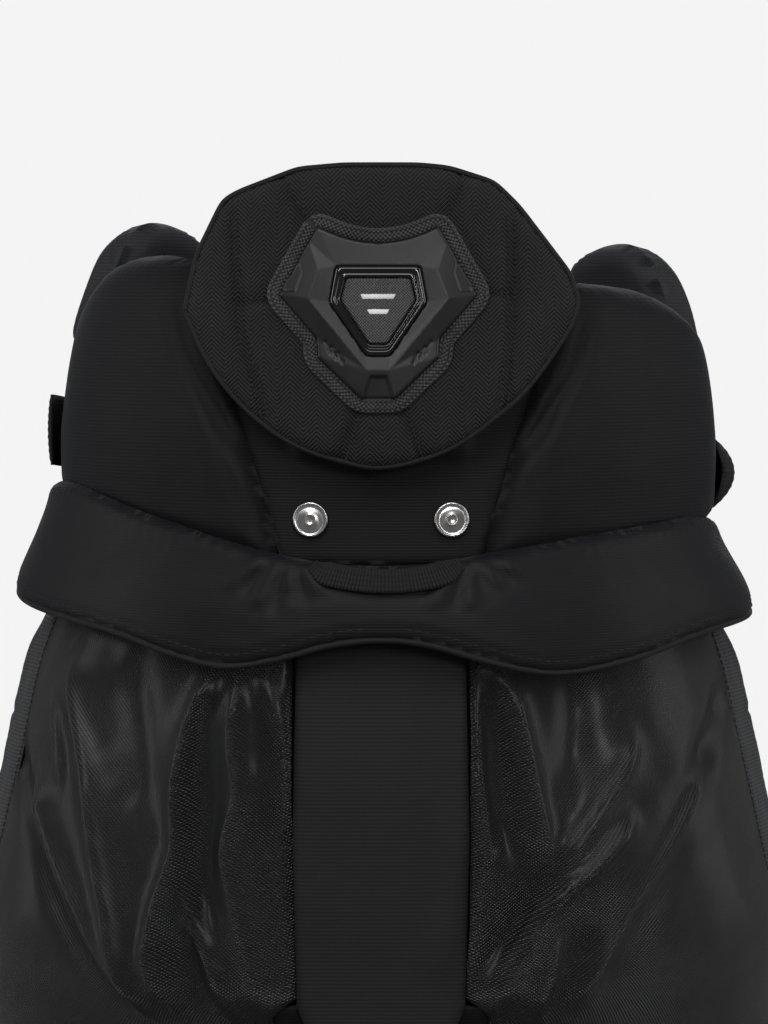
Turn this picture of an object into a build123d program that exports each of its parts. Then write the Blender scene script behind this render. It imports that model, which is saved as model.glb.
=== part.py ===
"""Padded ice hockey pants, senior medium, standing on their leg hems.

+X is the wearer's right, +Y the wearer's front and +Z up. The origin is the bottom centre of the
bounding box. The waist is a ring of pads round the body: a floating spine guard over two kidney pads
at the rear, hip pads at the sides and waist pads at the front. Below it hang a padded rear flap, the
seat shell with its panels, and two legs. Soft goods are plain closed solids of their true size.
All lengths are in millimetres.
"""

from build123d import *

import os
from math import copysign, cos, pi, sin, sqrt

# ---- driving dimensions -------------------------------------------------------------------------
CENTRE_SHIFT = 5.15       # moves the model forward so that the origin is mid-depth
RIGHT_DROOP = 18.0        # the soft right side hangs this much lower than the left
DROOP_START, DROOP_END = 55.0, 180.0
GAP = 0.5                 # clearance between soft pieces that move apart
FAR = 400.0               # reaches past everything

OVAL_POINTS = 20          # points of one horizontal section

# Horizontal sections, each (height, half width, half depth, squareness, centre x).
PAD_LEVELS = [(445, 181, 140, 2, 0), (520, 182, 142, 2, 0), (575, 173, 137, 2, 0), (632, 152, 124, 2, 0)]
LUMBAR_LEVELS = [(450, 172, 132, 2, 0), (552, 171, 131, 2, 0)]
FLAP_LEVELS = [(496, 185, 147, 2, 0), (455, 191, 154, 2, 0), (424, 203, 160, 2, 0), (385, 213, 166, 2, 0)]
BELT_LEVELS = [(455, 189, 147, 2, 0), (548, 189, 147, 2, 0)]
SEAT_LEVELS = [
    (446, 168, 128, 2.1, 0),
    (400, 186, 138, 2.2, 0),
    (340, 207, 141, 2.4, 0),
    (270, 224, 136, 2.6, 0),
    (200, 238, 128, 2.9, 0),
]
LEG_LEVELS = [
    (218, 98, 97, 2.3, 117),
    (185, 102, 100, 2.3, 121),
    (120, 108, 102, 2.2, 127),
    (60, 111.5, 100, 2.1, 130.5),
    (0, 113, 98, 2.0, 132),
]

PAD_THICKNESS = 24.0
FRONT_PAD_THICKNESS = 14.0
LUMBAR_THICKNESS = 10.0
WAISTBAND_THICKNESS = 3.0
SHELL_THICKNESS = 3.5
INNER_PAD_THICKNESS = 12.0
FLAP_THICKNESS = 9.0
BELT_THICKNESS = 3.0
PLATE_THICKNESS = 3.0     # moulded plastic plates inside the pads
HEM_HEIGHT, HEM_THICKNESS = 12.0, 6.0

# The spine guard from its backing outwards.
GUARD_COVER, GUARD_FOAM = 3.5, 14.0
GUARD_RADIUS, GUARD_LEAN = 253.0, 3.5           # its outer face is a cylinder that leans forward
GUARD_Y, GUARD_Z = -157.0, 580.0                # a point of that face at the middle
SHIELD_THICKNESS, BEZEL_THICKNESS, BADGE_THICKNESS, TRIM_THICKNESS = 5.5, 7.0, 4.5, 1.2

BUTTON_RADIUS, BUTTON_SHANK, TACK_RADIUS = 9.5, 3.2, 1.6
REAR_BUTTONS = [(-37, 471), (37, 471)]
FRONT_BUTTONS = [(-76, 528), (-38, 528), (38, 528), (76, 528)]

SEAT_HALF_WIDTH = 46.8    # the woven panel between the two rear leg panels
SIDE_HALF_DEPTH = 49.8    # the smooth side panels
FLY_HALF_WIDTH = 28.0
BELT_Z = 485.0            # the buckle's middle


# ---- helpers ------------------------------------------------------------------------------------
def section(z, a, b, squareness, x, depth):
    """One closed horizontal section, moved inwards by depth."""
    points = []
    for i in range(OVAL_POINTS):
        t = 2 * pi * i / OVAL_POINTS
        c, s = cos(t), sin(t)
        points.append((
            x + (a - depth) * copysign(abs(c) ** (2 / squareness), c),
            (b - depth) * copysign(abs(s) ** (2 / squareness), s),
            z,
        ))
    even = [i / OVAL_POINTS for i in range(OVAL_POINTS + 1)]
    return Wire([Edge.make_spline([Vector(*p) for p in points], periodic=True, parameters=even)])


def solid(levels, depth=0.0):
    return Solid.make_loft([section(*level, depth) for level in sorted(levels)])


def wall(levels, depth, thickness):
    """The wall between the levels' surface moved inwards by depth and by depth + thickness."""
    return solid(levels, depth) - solid(levels, depth + thickness)


def mirrored(levels):
    return [(z, a, b, n, -x) for z, a, b, n, x in levels]


def block(x, y, z):
    """A box from its three (low, high) ranges."""
    size = [high - low for low, high in (x, y, z)]
    middle = [(high + low) / 2 for low, high in (x, y, z)]
    return Pos(*middle) * Box(*size)


def prism(plane, edges, length, start=0.0):
    """The closed outline edges, drawn on plane, pushed along its normal."""
    return extrude(plane.offset(start) * make_face(edges), length)


def rear_prism(edges, y_end=0.0):
    """Everything behind y_end that an outline in X and Z covers in the rear view."""
    return prism(Plane.XZ, edges, FAR, -y_end)


def side_prism(edges, side):
    """Everything on one side (-1 left, 1 right) that an outline in Y and Z covers in the side view."""
    return prism(Plane.YZ, edges, side * FAR)


def droop(x, z):
    """z lowered as the soft right side hangs."""
    t = min(1.0, max(0.0, (x - DROOP_START) / (DROOP_END - DROOP_START)))
    return z - RIGHT_DROOP * t * t * (3 - 2 * t)


def hang(points, side):
    """A left side outline as it is on that side: mirrored and drooping on the right."""
    return [(side * -x, droop(side * -x, z)) for x, z in points]


def closed(*points):
    return Polyline(*points, close=True)


def one(shape):
    """The shape as a plain compound of its solids."""
    return Compound(children=list(shape.solids()))


PARTS = {}


def save(name, shape):
    PARTS[name] = one(Pos(0, CENTRE_SHIFT, 0) * one(shape))


SIDES = {"left": -1, "right": 1}


# ---- the waist ring of pads ---------------------------------------------------------------------
KIDNEY_INNER = [(-98, 598), (-90, 560), (-72, 505), (-57, 456)]
KIDNEY_TOP = [(-196, 520), (-167, 588), (-141, 609), (-114, 611), (-98, 598)]
KIDNEY_BOTTOM = [(-57, 456), (-120, 474), (-196, 491)]
KIDNEY_PLATE = [(-150, 512), (-158, 560), (-138, 590), (-112, 588), (-104, 540), (-90, 500)]
KIDNEY_FRONT_Y = 6.0


def kidney_pad(side):
    """A rear side pad and the moulded plate sealed inside it."""
    outline = Spline(*hang(KIDNEY_TOP, side)) + Polyline(*hang(KIDNEY_INNER, side))
    outline += Polyline(*hang(KIDNEY_BOTTOM, side)) + Line(
        hang(KIDNEY_BOTTOM[-1:], side)[0], hang(KIDNEY_TOP[:1], side)[0]
    )
    pad = wall(PAD_LEVELS, 0, PAD_THICKNESS) & rear_prism(outline, KIDNEY_FRONT_Y)
    plate = wall(PAD_LEVELS, 13, PLATE_THICKNESS) & rear_prism(closed(*hang(KIDNEY_PLATE, side)), -20)
    return pad - plate, plate


LEDGE_REACH = 9.5         # how far the two sewn ledges stand out, to carry the guard and the flap


def lumbar_panel():
    """The recessed panel between the kidney pads, with the rear buttons and the two sewn ledges."""
    right = [(56.5, 456), (71.5, 505), (86, 548)]
    left = [(-x, z) for x, z in reversed(right)]
    panel = wall(LUMBAR_LEVELS, 0, LUMBAR_THICKNESS) & rear_prism(closed(*right, *left))
    ledges = wall(LUMBAR_LEVELS, -LEDGE_REACH, LEDGE_REACH + 2)
    panel += ledges & block((-34, 34), (-FAR, 0), (507, 515))
    panel += ledges & block((-50, 50), (-FAR, 0), (450.5, 455))
    for x, z in REAR_BUTTONS:
        panel -= button_hole(button_plane(x, z, LUMBAR_LEVELS, -1), LUMBAR_THICKNESS)
    return panel


HIP_REAR_Y, HIP_FRONT_X, HIP_TOP = 7.0, 100.5, 553.0
WING_FRONT_X = 101.5
WING_OUTLINE = [(7, 556), (7, 608), (22, 624), (55, 630), (88, 616), (106, 590), (110, 556)]


def hip_pad(side):
    """The lower, fixed part of a side pad, which the belt holds."""
    drop = RIGHT_DROOP if side > 0 else 0
    x = sorted((side * HIP_FRONT_X, side * FAR))
    low, high = PAD_LEVELS[0][0] + 2, HIP_TOP - drop
    return wall(PAD_LEVELS, 0, PAD_THICKNESS) & block(x, (HIP_REAR_Y, FAR), (low, high))


def hip_wing(side):
    """The floating upper part of a side pad, whose rolled top stands above the kidney pad, and its plate."""
    drop = RIGHT_DROOP if side > 0 else 0
    outline = [(y, z - drop) for y, z in WING_OUTLINE]
    plate_outline = [(22, 568 - drop), (24, 600 - drop), (80, 598 - drop), (84, 568 - drop)]
    region = block(sorted((side * WING_FRONT_X, side * FAR)), (0, FAR), (500, 650))
    pad = wall(PAD_LEVELS, 0, PAD_THICKNESS) & side_prism(closed(*outline), side) & region
    plate = wall(PAD_LEVELS, 13, PLATE_THICKNESS) & side_prism(closed(*plate_outline), side) & region
    return pad - plate, plate


def waist_pad(side):
    """A front waist pad, which carries two suspender buttons."""
    x = sorted((side * 4.0, side * (HIP_FRONT_X - GAP)))
    pad = wall(PAD_LEVELS, 0, FRONT_PAD_THICKNESS) & block(x, (0, FAR), (447, 545))
    for bx, bz in FRONT_BUTTONS:
        if bx * side > 0:
            pad -= button_hole(button_plane(bx, bz, PAD_LEVELS, 1), FRONT_PAD_THICKNESS)
    return pad


def waistband():
    """The soft inner girdle, open at the fly."""
    band = wall(PAD_LEVELS, PAD_THICKNESS + GAP, WAISTBAND_THICKNESS)
    band &= block((-FAR, FAR), (-FAR, FAR), (447, 535))
    return band - block((-4, 4), (0, FAR), (400, 600))


# ---- suspender buttons --------------------------------------------------------------------------
def half_sizes(levels, z):
    """Half width and half depth at z, read straight between the levels."""
    ordered = sorted(levels)
    for low, high in zip(ordered, ordered[1:]):
        if low[0] <= z <= high[0]:
            t = (z - low[0]) / (high[0] - low[0])
            return [low[i] + t * (high[i] - low[i]) for i in (1, 2)]
    raise ValueError(z)


def button_plane(x, z, levels, facing):
    """The plane that touches the pad's outer face at the button, its normal pointing out."""
    a, b = half_sizes(levels, z)
    y = facing * b * sqrt(1 - (x / a) ** 2)
    return Plane(origin=(x, y, z), x_dir=(-y / b**2, x / a**2, 0), z_dir=(x / a**2, y / b**2, 0))


def button_hole(plane, thickness):
    """The stepped hole for a button's shank and its tack."""
    wide = Pos(0, 0, -1) * Cylinder(BUTTON_SHANK + 0.4, 13)
    narrow = Cylinder(TACK_RADIUS, 2 * thickness + 8)
    return plane * (wide + narrow)


def button(plane):
    """A domed button with a raised ring, on a hollow shank that turns on its tack."""
    head = Pos(0, 0, 2.7) * Cylinder(BUTTON_RADIUS, 2.4)
    head = fillet(head.edges().group_by(Axis.Z)[-1], 1.6)
    ring = Pos(0, 0, 3.9) * (Cylinder(6.2, 0.9) - Cylinder(4.6, 0.9))
    shank = Pos(0, 0, -2.2) * Cylinder(BUTTON_SHANK, 7.6)
    bore = Pos(0, 0, -3.0) * Cylinder(TACK_RADIUS + 0.06, 7.0)
    return plane * (head + ring + shank - bore)


def tack(plane, thickness):
    """The fixed tack: a pin up the shank and a washer behind the pad."""
    pin_bottom, pin_top = -thickness - 0.8, 0.2
    pin = Pos(0, 0, (pin_bottom + pin_top) / 2) * Cylinder(TACK_RADIUS, pin_top - pin_bottom)
    washer = Pos(0, 0, -thickness - 1.4) * Cylinder(6.0, 1.2)
    return plane * (pin + washer)


# ---- spine guard --------------------------------------------------------------------------------
GUARD_TOP = [(-106, 590), (-98, 613), (-77, 643), (-44, 657), (0, 660), (44, 657), (77, 643), (98, 613), (106, 590)]
GUARD_BOTTOM = [(106, 590), (93, 560), (66, 529), (34, 507), (0, 500), (-34, 507), (-66, 529), (-93, 560), (-106, 590)]
SHIELD_X = -1.5
SHIELD_HALF = [(32, 627), (52.5, 591), (32.5, 568), (32, 558), (9, 536)]
SHIELD_TOP_DIP = (0, 618.5)
BEZEL_HALF = [(22, 606), (25.5, 587), (6, 559)]
BADGE_HALF = [(17, 600), (20, 588), (5, 565)]


def both_sides(half):
    """A symmetric closed outline from its right half, listed from top to bottom."""
    return [(SHIELD_X + x, z) for x, z in half] + [(SHIELD_X - x, z) for x, z in reversed(half)]


def shield_outline(grow=0.0):
    """The shield's outline, with its sagging top edge, grown outwards by grow."""
    points = both_sides(SHIELD_HALF)
    top_left, top_right = points[-1], points[0]
    dip = (SHIELD_X + SHIELD_TOP_DIP[0], SHIELD_TOP_DIP[1])
    edges = Polyline(*points) + ThreePointArc(top_left, dip, top_right)
    face = make_face(edges)
    return offset(face, grow) if grow else face


def guard_shell(depth, thickness):
    """The shell between two cylinders about the guard's leaning axis, depth inwards of its face."""
    outer = Cylinder(GUARD_RADIUS - depth, FAR) - Cylinder(GUARD_RADIUS - depth - thickness, FAR)
    rear_half = outer & (Pos(0, -GUARD_RADIUS, 0) * Box(2 * FAR, 2 * GUARD_RADIUS, FAR))
    return Pos(0, GUARD_Y, GUARD_Z) * Rot(-GUARD_LEAN, 0, 0) * Pos(0, GUARD_RADIUS, 0) * rear_half


def guard_layer(depth, thickness):
    outline = Polyline(*GUARD_TOP) + Spline(*GUARD_BOTTOM)
    return guard_shell(depth, thickness) & rear_prism(outline)


def on_guard(height, face):
    """A piece of that height standing on the guard's outer face, within a face drawn in the rear view."""
    return guard_shell(-height, height) & extrude(Plane.XZ * face, FAR)


def spine_guard():
    """The padded guard and the moulded shield on it."""
    bezel_face = fillet(make_face(closed(*both_sides(BEZEL_HALF))).vertices(), 2.5)
    badge_face = fillet(make_face(closed(*both_sides(BADGE_HALF))).vertices(), 1.8)
    shield_face = shield_outline()
    return {
        "spine_guard_cover": guard_layer(0, GUARD_COVER),
        "spine_guard_foam": guard_layer(GUARD_COVER, GUARD_FOAM),
        "shield_trim": on_guard(TRIM_THICKNESS, shield_outline(6.5) - shield_face),
        "spine_shield": on_guard(SHIELD_THICKNESS, shield_face - bezel_face),
        "shield_bezel": on_guard(BEZEL_THICKNESS, bezel_face - badge_face),
        "shield_badge": on_guard(BADGE_THICKNESS, badge_face),
    }


# ---- rear flap and hanger loop ------------------------------------------------------------------
FLAP_TOP = [(-210, 490), (-122, 472), (-57, 453.5), (57, 453.5), (122, 472), (210, 490)]
FLAP_HEM = [(-214, 427), (-152, 411), (-84, 396), (-40, 404), (0, 412), (42, 405), (95, 393), (152, 402), (214, 418)]
FLAP_END_Y = 5.0
PIPING = 3.5              # the bound edge along the flap's hem
LOOP_OUTLINE_TOP = [(-43, 453), (-24, 450), (0, 449), (24, 450), (43, 453)]
LOOP_WIDTH = 13.0
LOOP_THICKNESS = 2.2


def flap_band(top, hem):
    outline = Polyline(*top) + Spline(*hem) + Line(top[0], hem[0]) + Line(top[-1], hem[-1])
    return wall(FLAP_LEVELS, 0, FLAP_THICKNESS) & rear_prism(outline, FLAP_END_Y)


def lowered(points, drop):
    return [(x, z - drop) for x, z in points]


def rear_flap():
    top = [(x, droop(x, z) - (1.5 if abs(x) > 57 else 0)) for x, z in FLAP_TOP]
    return flap_band(top, [(x, z + PIPING) for x, z in FLAP_HEM])


def flap_piping():
    """The bound hem: the band between the flap's foam and its lowest edge."""
    upper = [(x, z + PIPING) for x, z in FLAP_HEM]
    outline = Spline(*upper) + Spline(*FLAP_HEM) + Line(upper[0], FLAP_HEM[0]) + Line(upper[-1], FLAP_HEM[-1])
    return wall(FLAP_LEVELS, 0, FLAP_THICKNESS) & rear_prism(outline, FLAP_END_Y)


def hanger_loop():
    bottom = lowered(LOOP_OUTLINE_TOP, LOOP_WIDTH)
    bottom = [(x * 0.86, z) for x, z in bottom]
    outline = Spline(*LOOP_OUTLINE_TOP) + Spline(*bottom)
    outline += Line(LOOP_OUTLINE_TOP[0], bottom[0]) + Line(LOOP_OUTLINE_TOP[-1], bottom[-1])
    return wall(FLAP_LEVELS, -LOOP_THICKNESS - GAP, LOOP_THICKNESS) & rear_prism(outline)


# ---- belt and buckle ----------------------------------------------------------------------------
BUCKLE_HALF_WIDTH, BUCKLE_HALF_HEIGHT = 21.5, 18.0
BUCKLE_BACK_Y, BUCKLE_PLATE = 143.5, 3.0
PIN_X, PIN_Y, PIN_RADIUS = -9.0, 151.0, 1.5
LEVER_BARREL, CHEEK = 3.4, 4.0


def belt(side):
    """One half of the belt webbing, from under the kidney pad round the hip to the buckle."""
    drop = RIGHT_DROOP if side > 0 else 0
    outline = closed((8, 491 - drop), (8, 539 - drop), (170, 505), (170, 465))
    region = block(sorted((side * (BUCKLE_HALF_WIDTH + 0.3), side * FAR)), (0, FAR), (400, 600))
    return wall(BELT_LEVELS, 0, BELT_THICKNESS) & side_prism(outline, side) & region


def buckle():
    """A cam buckle: a frame with two cheeks, the pin between them, and the lever on the pin."""
    z_low, z_high = BELT_Z - BUCKLE_HALF_HEIGHT, BELT_Z + BUCKLE_HALF_HEIGHT
    plate_y = (BUCKLE_BACK_Y, BUCKLE_BACK_Y + BUCKLE_PLATE)
    frame = block((-BUCKLE_HALF_WIDTH, BUCKLE_HALF_WIDTH), plate_y, (z_low, z_high))
    for low, high in ((z_low, z_low + CHEEK), (z_high - CHEEK, z_high)):
        frame += block((PIN_X - 6, PIN_X + 6), (plate_y[1], PIN_Y + 4), (low, high))
    axis_at = Pos(PIN_X, PIN_Y, BELT_Z)
    frame -= axis_at * Cylinder(PIN_RADIUS, 3 * BUCKLE_HALF_HEIGHT)
    pin = axis_at * Cylinder(PIN_RADIUS, 2 * BUCKLE_HALF_HEIGHT)
    lever_half = BUCKLE_HALF_HEIGHT - CHEEK - 0.4
    lever = axis_at * Cylinder(LEVER_BARREL, 2 * lever_half)
    lever += block((PIN_X, PIN_X + 27), (PIN_Y + 0.6, PIN_Y + LEVER_BARREL), (BELT_Z - lever_half, BELT_Z + lever_half))
    lever -= axis_at * Cylinder(PIN_RADIUS + 0.06, 3 * lever_half)
    return frame, pin, lever


# ---- seat shell ---------------------------------------------------------------------------------
def seat_panels():
    """The outer shell's panels, cut from one wall, each its own piece."""
    shell = wall(SEAT_LEVELS, 0, SHELL_THICKNESS)
    all_z = (100, 500)
    pieces = {
        "seat_panel": shell & block((-SEAT_HALF_WIDTH, SEAT_HALF_WIDTH), (-FAR, 0), all_z),
        "fly_tongue": shell & block((-FLY_HALF_WIDTH, FLY_HALF_WIDTH), (0, FAR), all_z),
    }
    for name, side in SIDES.items():
        rear_x = sorted((side * (SEAT_HALF_WIDTH + 0.2), side * FAR))
        front_x = sorted((side * (FLY_HALF_WIDTH + 0.2), side * FAR))
        side_x = sorted((side * 20, side * FAR))
        pieces[f"{name}_rear_panel"] = shell & block(rear_x, (-FAR, -SIDE_HALF_DEPTH - 0.2), all_z)
        pieces[f"{name}_side_panel"] = shell & block(side_x, (-SIDE_HALF_DEPTH, SIDE_HALF_DEPTH), all_z)
        pieces[f"{name}_front_panel"] = shell & block(front_x, (SIDE_HALF_DEPTH + 0.2, FAR), all_z)
    return pieces


GUSSET_HALF_WIDTH, GUSSET_LOW = 15.0, 170.0


def crotch_gusset():
    """The strip under the crotch, hanging in a shallow U from the rear panel to the front one."""
    top_z, half = SEAT_LEVELS[-1][0], SEAT_LEVELS[-1][2]
    inner = half - SHELL_THICKNESS
    outline = ThreePointArc((-half, top_z), (0, GUSSET_LOW), (half, top_z)) + Line((half, top_z), (inner, top_z))
    outline += ThreePointArc((inner, top_z), (0, GUSSET_LOW + SHELL_THICKNESS), (-inner, top_z))
    outline += Line((-inner, top_z), (-half, top_z))
    strip = prism(Plane.YZ, outline, 2 * GUSSET_HALF_WIDTH, -GUSSET_HALF_WIDTH)
    return strip


def tailbone_pad():
    """The foam pad in the seat and the hard plate on its inner face."""
    outline = closed((-44, 398), (44, 398), (48, 330), (24, 250), (-24, 250), (-48, 330))
    pad = wall(SEAT_LEVELS, SHELL_THICKNESS + 0.3, INNER_PAD_THICKNESS) & rear_prism(outline)
    plate_outline = closed((-34, 388), (34, 388), (38, 330), (18, 262), (-18, 262), (-38, 330))
    depth = SHELL_THICKNESS + 0.3 + INNER_PAD_THICKNESS
    plate = wall(SEAT_LEVELS, depth, PLATE_THICKNESS) & rear_prism(plate_outline)
    return pad, plate


def upper_thigh_pad(side):
    x = sorted((side * 60, side * FAR))
    return wall(SEAT_LEVELS, SHELL_THICKNESS + 0.3, INNER_PAD_THICKNESS) & block(x, (45, FAR), (236, 425))


EYELET_Z = [350, 376, 402, 428]
EYELET_BORE, EYELET_RADIUS, EYELET_FLANGE = 2.5, 4.0, 6.0
EYELET_GAP = 0.3          # between an eyelet's tube and its hole in the cloth
EYELET_REACH = 3.5        # from the middle of the cloth to the middle of a flange


def front_depth(x, z):
    """How far forward the seat's outer surface is at x and z."""
    a, b = half_sizes(SEAT_LEVELS, z)
    power = half_sizes([(level[0], level[3], level[3]) for level in SEAT_LEVELS], z)[0]
    return b * (1 - abs(x / a) ** power) ** (1 / power)


def eyelet_places():
    for side in SIDES.values():
        for z in EYELET_Z:
            x = side * (FLY_HALF_WIDTH + 10)
            lean = Vector(front_depth(x - 3, z) - front_depth(x + 3, z), 6,
                          front_depth(x, z - 3) - front_depth(x, z + 3)).normalized()
            middle = Vector(x, front_depth(x, z), z) - lean * (SHELL_THICKNESS / 2)
            yield Location(Plane(origin=middle, z_dir=lean))


def eyelet_holes():
    return [place * Cylinder(EYELET_RADIUS + EYELET_GAP, 16) for place in eyelet_places()]


def lace_eyelets():
    """Metal eyelets down both edges of the fly: a tube with a flange at each end."""
    bore = Cylinder(EYELET_BORE, 20)
    flange = Cylinder(EYELET_FLANGE, 1.0)
    tube = Cylinder(EYELET_RADIUS, 6.6)
    one_eyelet = tube + Pos(0, 0, EYELET_REACH) * flange + Pos(0, 0, -EYELET_REACH) * flange - bore
    return [place * one_eyelet for place in eyelet_places()]


# ---- legs ---------------------------------------------------------------------------------------
def leg(side):
    """A leg's shell, hem binding and thigh pad."""
    levels = LEG_LEVELS if side > 0 else mirrored(LEG_LEVELS)
    whole = wall(levels, 0, SHELL_THICKNESS)
    shell = whole & block((-FAR, FAR), (-FAR, FAR), (HEM_HEIGHT, 300))
    hem = wall(levels, -1.2, HEM_THICKNESS) & block((-FAR, FAR), (-FAR, FAR), (-10, HEM_HEIGHT))
    x = sorted((side * 75, side * FAR))
    pad = wall(levels, SHELL_THICKNESS + 0.3, INNER_PAD_THICKNESS) & block(x, (-15, FAR), (22, 205))
    return shell, hem, pad


TAPE, TEETH = 1.5, 1.3
ZIP_LOW, ZIP_HIGH = 14.0, 166.0
SLIDER_Z = (148.0, 160.0)
INNER_X = 19.0            # the leg's innermost surface
TAB_AXIS_X, TAB_AXIS_Z, TAB_LENGTH = 8.6, 150.0, 13.0


def zipper(side):
    """The zip on a leg's inner face: tape with teeth, slider and pull tab."""
    levels = LEG_LEVELS if side > 0 else mirrored(LEG_LEVELS)
    inner = sorted((0, side * 60))
    tape = wall(levels, -TAPE, TAPE) & block(inner, (-11, 11), (ZIP_LOW, ZIP_HIGH))
    teeth = wall(levels, -TAPE - TEETH, TEETH) & block(inner, (-2.6, 2.6), (ZIP_LOW, ZIP_HIGH))
    outer_x = INNER_X - TAPE - TEETH - 0.4
    body = block(sorted((side * (outer_x - 4.6), side * outer_x)), (-4.6, 4.6), SLIDER_Z)
    for y in ((-4.6, -3.6), (3.6, 4.6)):
        body += block(sorted((side * (TAB_AXIS_X - 1), side * (outer_x - 4.6))), y, (148.0, 152.0))
    along_y = Pos(side * TAB_AXIS_X, 0, TAB_AXIS_Z) * Rot(90, 0, 0)
    body += along_y * Cylinder(0.8, 9.2)
    tab = along_y * Cylinder(1.9, 6.4)
    plate_x = sorted((side * (TAB_AXIS_X - 0.8), side * (TAB_AXIS_X + 0.8)))
    tab += block(plate_x, (-3.2, 3.2), (TAB_AXIS_Z - TAB_LENGTH, TAB_AXIS_Z - 1))
    tab -= along_y * Cylinder(0.9, 10)
    return tape + teeth, body, tab


# ---- everything ---------------------------------------------------------------------------------
def save_waist():
    save("waistband", waistband())
    save("lumbar_panel", lumbar_panel())
    for name, side in SIDES.items():
        save(f"{name}_kidney_pad", kidney_pad(side)[0])
        save(f"{name}_hip_pad", hip_pad(side))
        wing, wing_plate = hip_wing(side)
        save(f"{name}_hip_wing", wing)
        save(f"{name}_hip_plate", wing_plate)
        save(f"{name}_waist_pad", waist_pad(side))
        save(f"{name}_belt", belt(side))
    save("kidney_plates", Compound(children=[one(kidney_pad(side)[1]) for side in SIDES.values()]))
    for name, piece in zip(("buckle_frame", "buckle_pin", "buckle_lever"), buckle()):
        save(name, piece)


def save_buttons():
    rear_planes = [button_plane(x, z, LUMBAR_LEVELS, -1) for x, z in REAR_BUTTONS]
    front_planes = [button_plane(x, z, PAD_LEVELS, 1) for x, z in FRONT_BUTTONS]
    for name, plane in zip(SIDES, rear_planes):
        save(f"{name}_rear_button", button(plane))
    for name, plane in zip(("left_outer", "left_inner", "right_inner", "right_outer"), front_planes):
        save(f"{name}_front_button", button(plane))
    tacks = [one(tack(plane, LUMBAR_THICKNESS)) for plane in rear_planes]
    tacks += [one(tack(plane, FRONT_PAD_THICKNESS)) for plane in front_planes]
    save("button_tacks", Compound(children=tacks))


def save_rear():
    for name, piece in spine_guard().items():
        save(name, piece)
    save("rear_flap", rear_flap())
    save("flap_piping", flap_piping())
    save("hanger_loop", hanger_loop())


def save_seat_and_legs():
    holes = eyelet_holes()
    for name, piece in seat_panels().items():
        save(name, piece - holes if "front" in name else piece)
    save("lace_eyelets", Compound(children=[one(piece) for piece in lace_eyelets()]))
    save("crotch_gusset", crotch_gusset())
    for name, piece in zip(("tailbone_pad", "tailbone_plate"), tailbone_pad()):
        save(name, piece)
    for name, side in SIDES.items():
        save(f"{name}_upper_thigh_pad", upper_thigh_pad(side))
        for piece_name, piece in zip(("leg_shell", "leg_hem", "thigh_pad"), leg(side)):
            save(f"{name}_{piece_name}", piece)
        for piece_name, piece in zip(("zip_chain", "zip_slider", "zip_pull"), zipper(side)):
            save(f"{name}_{piece_name}", piece)


def main():
    save_waist()
    save_buttons()
    save_rear()
    save_seat_and_legs()
    os.makedirs("parts", exist_ok=True)
    for name, shape in PARTS.items():
        export_step(shape, f"parts/{name}.step")
    box = Compound(children=[s for p in PARTS.values() for s in p.solids()]).bounding_box()
    print(len(PARTS), "parts, box", [round(v, 2) for v in (*box.min, *box.max)])


main()
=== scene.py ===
from math import pi, radians, tan

import bmesh
import bpy
import numpy as np
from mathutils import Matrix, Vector, geometry


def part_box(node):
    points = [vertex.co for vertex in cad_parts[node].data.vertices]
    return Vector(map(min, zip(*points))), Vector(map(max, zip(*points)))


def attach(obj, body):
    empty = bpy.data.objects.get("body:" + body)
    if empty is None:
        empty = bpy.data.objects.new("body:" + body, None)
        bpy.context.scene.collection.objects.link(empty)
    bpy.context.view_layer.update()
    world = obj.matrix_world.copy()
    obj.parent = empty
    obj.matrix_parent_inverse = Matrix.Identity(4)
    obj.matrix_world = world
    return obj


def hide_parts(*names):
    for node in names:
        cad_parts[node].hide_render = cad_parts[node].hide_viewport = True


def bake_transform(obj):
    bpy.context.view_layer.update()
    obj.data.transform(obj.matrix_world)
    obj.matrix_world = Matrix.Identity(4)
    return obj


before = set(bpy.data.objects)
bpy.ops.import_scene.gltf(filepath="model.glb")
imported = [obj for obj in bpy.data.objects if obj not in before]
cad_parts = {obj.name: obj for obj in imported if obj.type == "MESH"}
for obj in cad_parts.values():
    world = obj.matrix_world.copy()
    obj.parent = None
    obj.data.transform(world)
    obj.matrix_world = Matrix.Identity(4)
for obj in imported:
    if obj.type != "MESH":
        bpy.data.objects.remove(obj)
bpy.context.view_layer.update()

# Padded ice hockey pants. Lengths here are millimetres until a mesh is made. Every soft piece is a
# closed mesh: an outline is filled with triangles in the plane of its cloth, its two faces are pushed
# in and out by a profile, and the result is wrapped on the surface that the CAD solid has.

MM = 0.001
SIDES = {"left": -1, "right": 1}


def middle(node, axis):
    low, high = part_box(node)
    return (low[axis] + high[axis]) / 2 / MM


SHIFT_Y = middle("waistband", 1)          # the body ring's centre in the row frame
RIGHT_DROOP = 18.0
DROOP_START, DROOP_END = 55.0, 180.0

PAD_LEVELS = [(445, 181, 140), (520, 182, 142), (575, 173, 137), (632, 152, 124)]
LUMBAR_LEVELS = [(450, 172, 132), (552, 171, 131)]
FLAP_LEVELS = [(496, 185, 147), (455, 191, 154), (424, 203, 160), (385, 213, 166)]
BELT_LEVELS = [(455, 189, 147), (548, 189, 147)]
SEAT_LEVELS = [(446, 168, 128, 2.1), (400, 186, 138, 2.2), (340, 207, 141, 2.4), (270, 224, 136, 2.6),
               (200, 238, 128, 2.9)]
LEG_LEVELS = [(218, 98, 97, 2.3, 117), (185, 102, 100, 2.3, 121), (120, 108, 102, 2.2, 127),
              (60, 111.5, 100, 2.1, 130.5), (0, 113, 98, 2.0, 132)]
RING_RADIUS = 165.0                       # turns an angle round the ring into millimetres of cloth
GUARD_RADIUS, GUARD_LEAN = 253.0, 3.5
GUARD_Y, GUARD_Z = -157.0, 580.0
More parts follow.
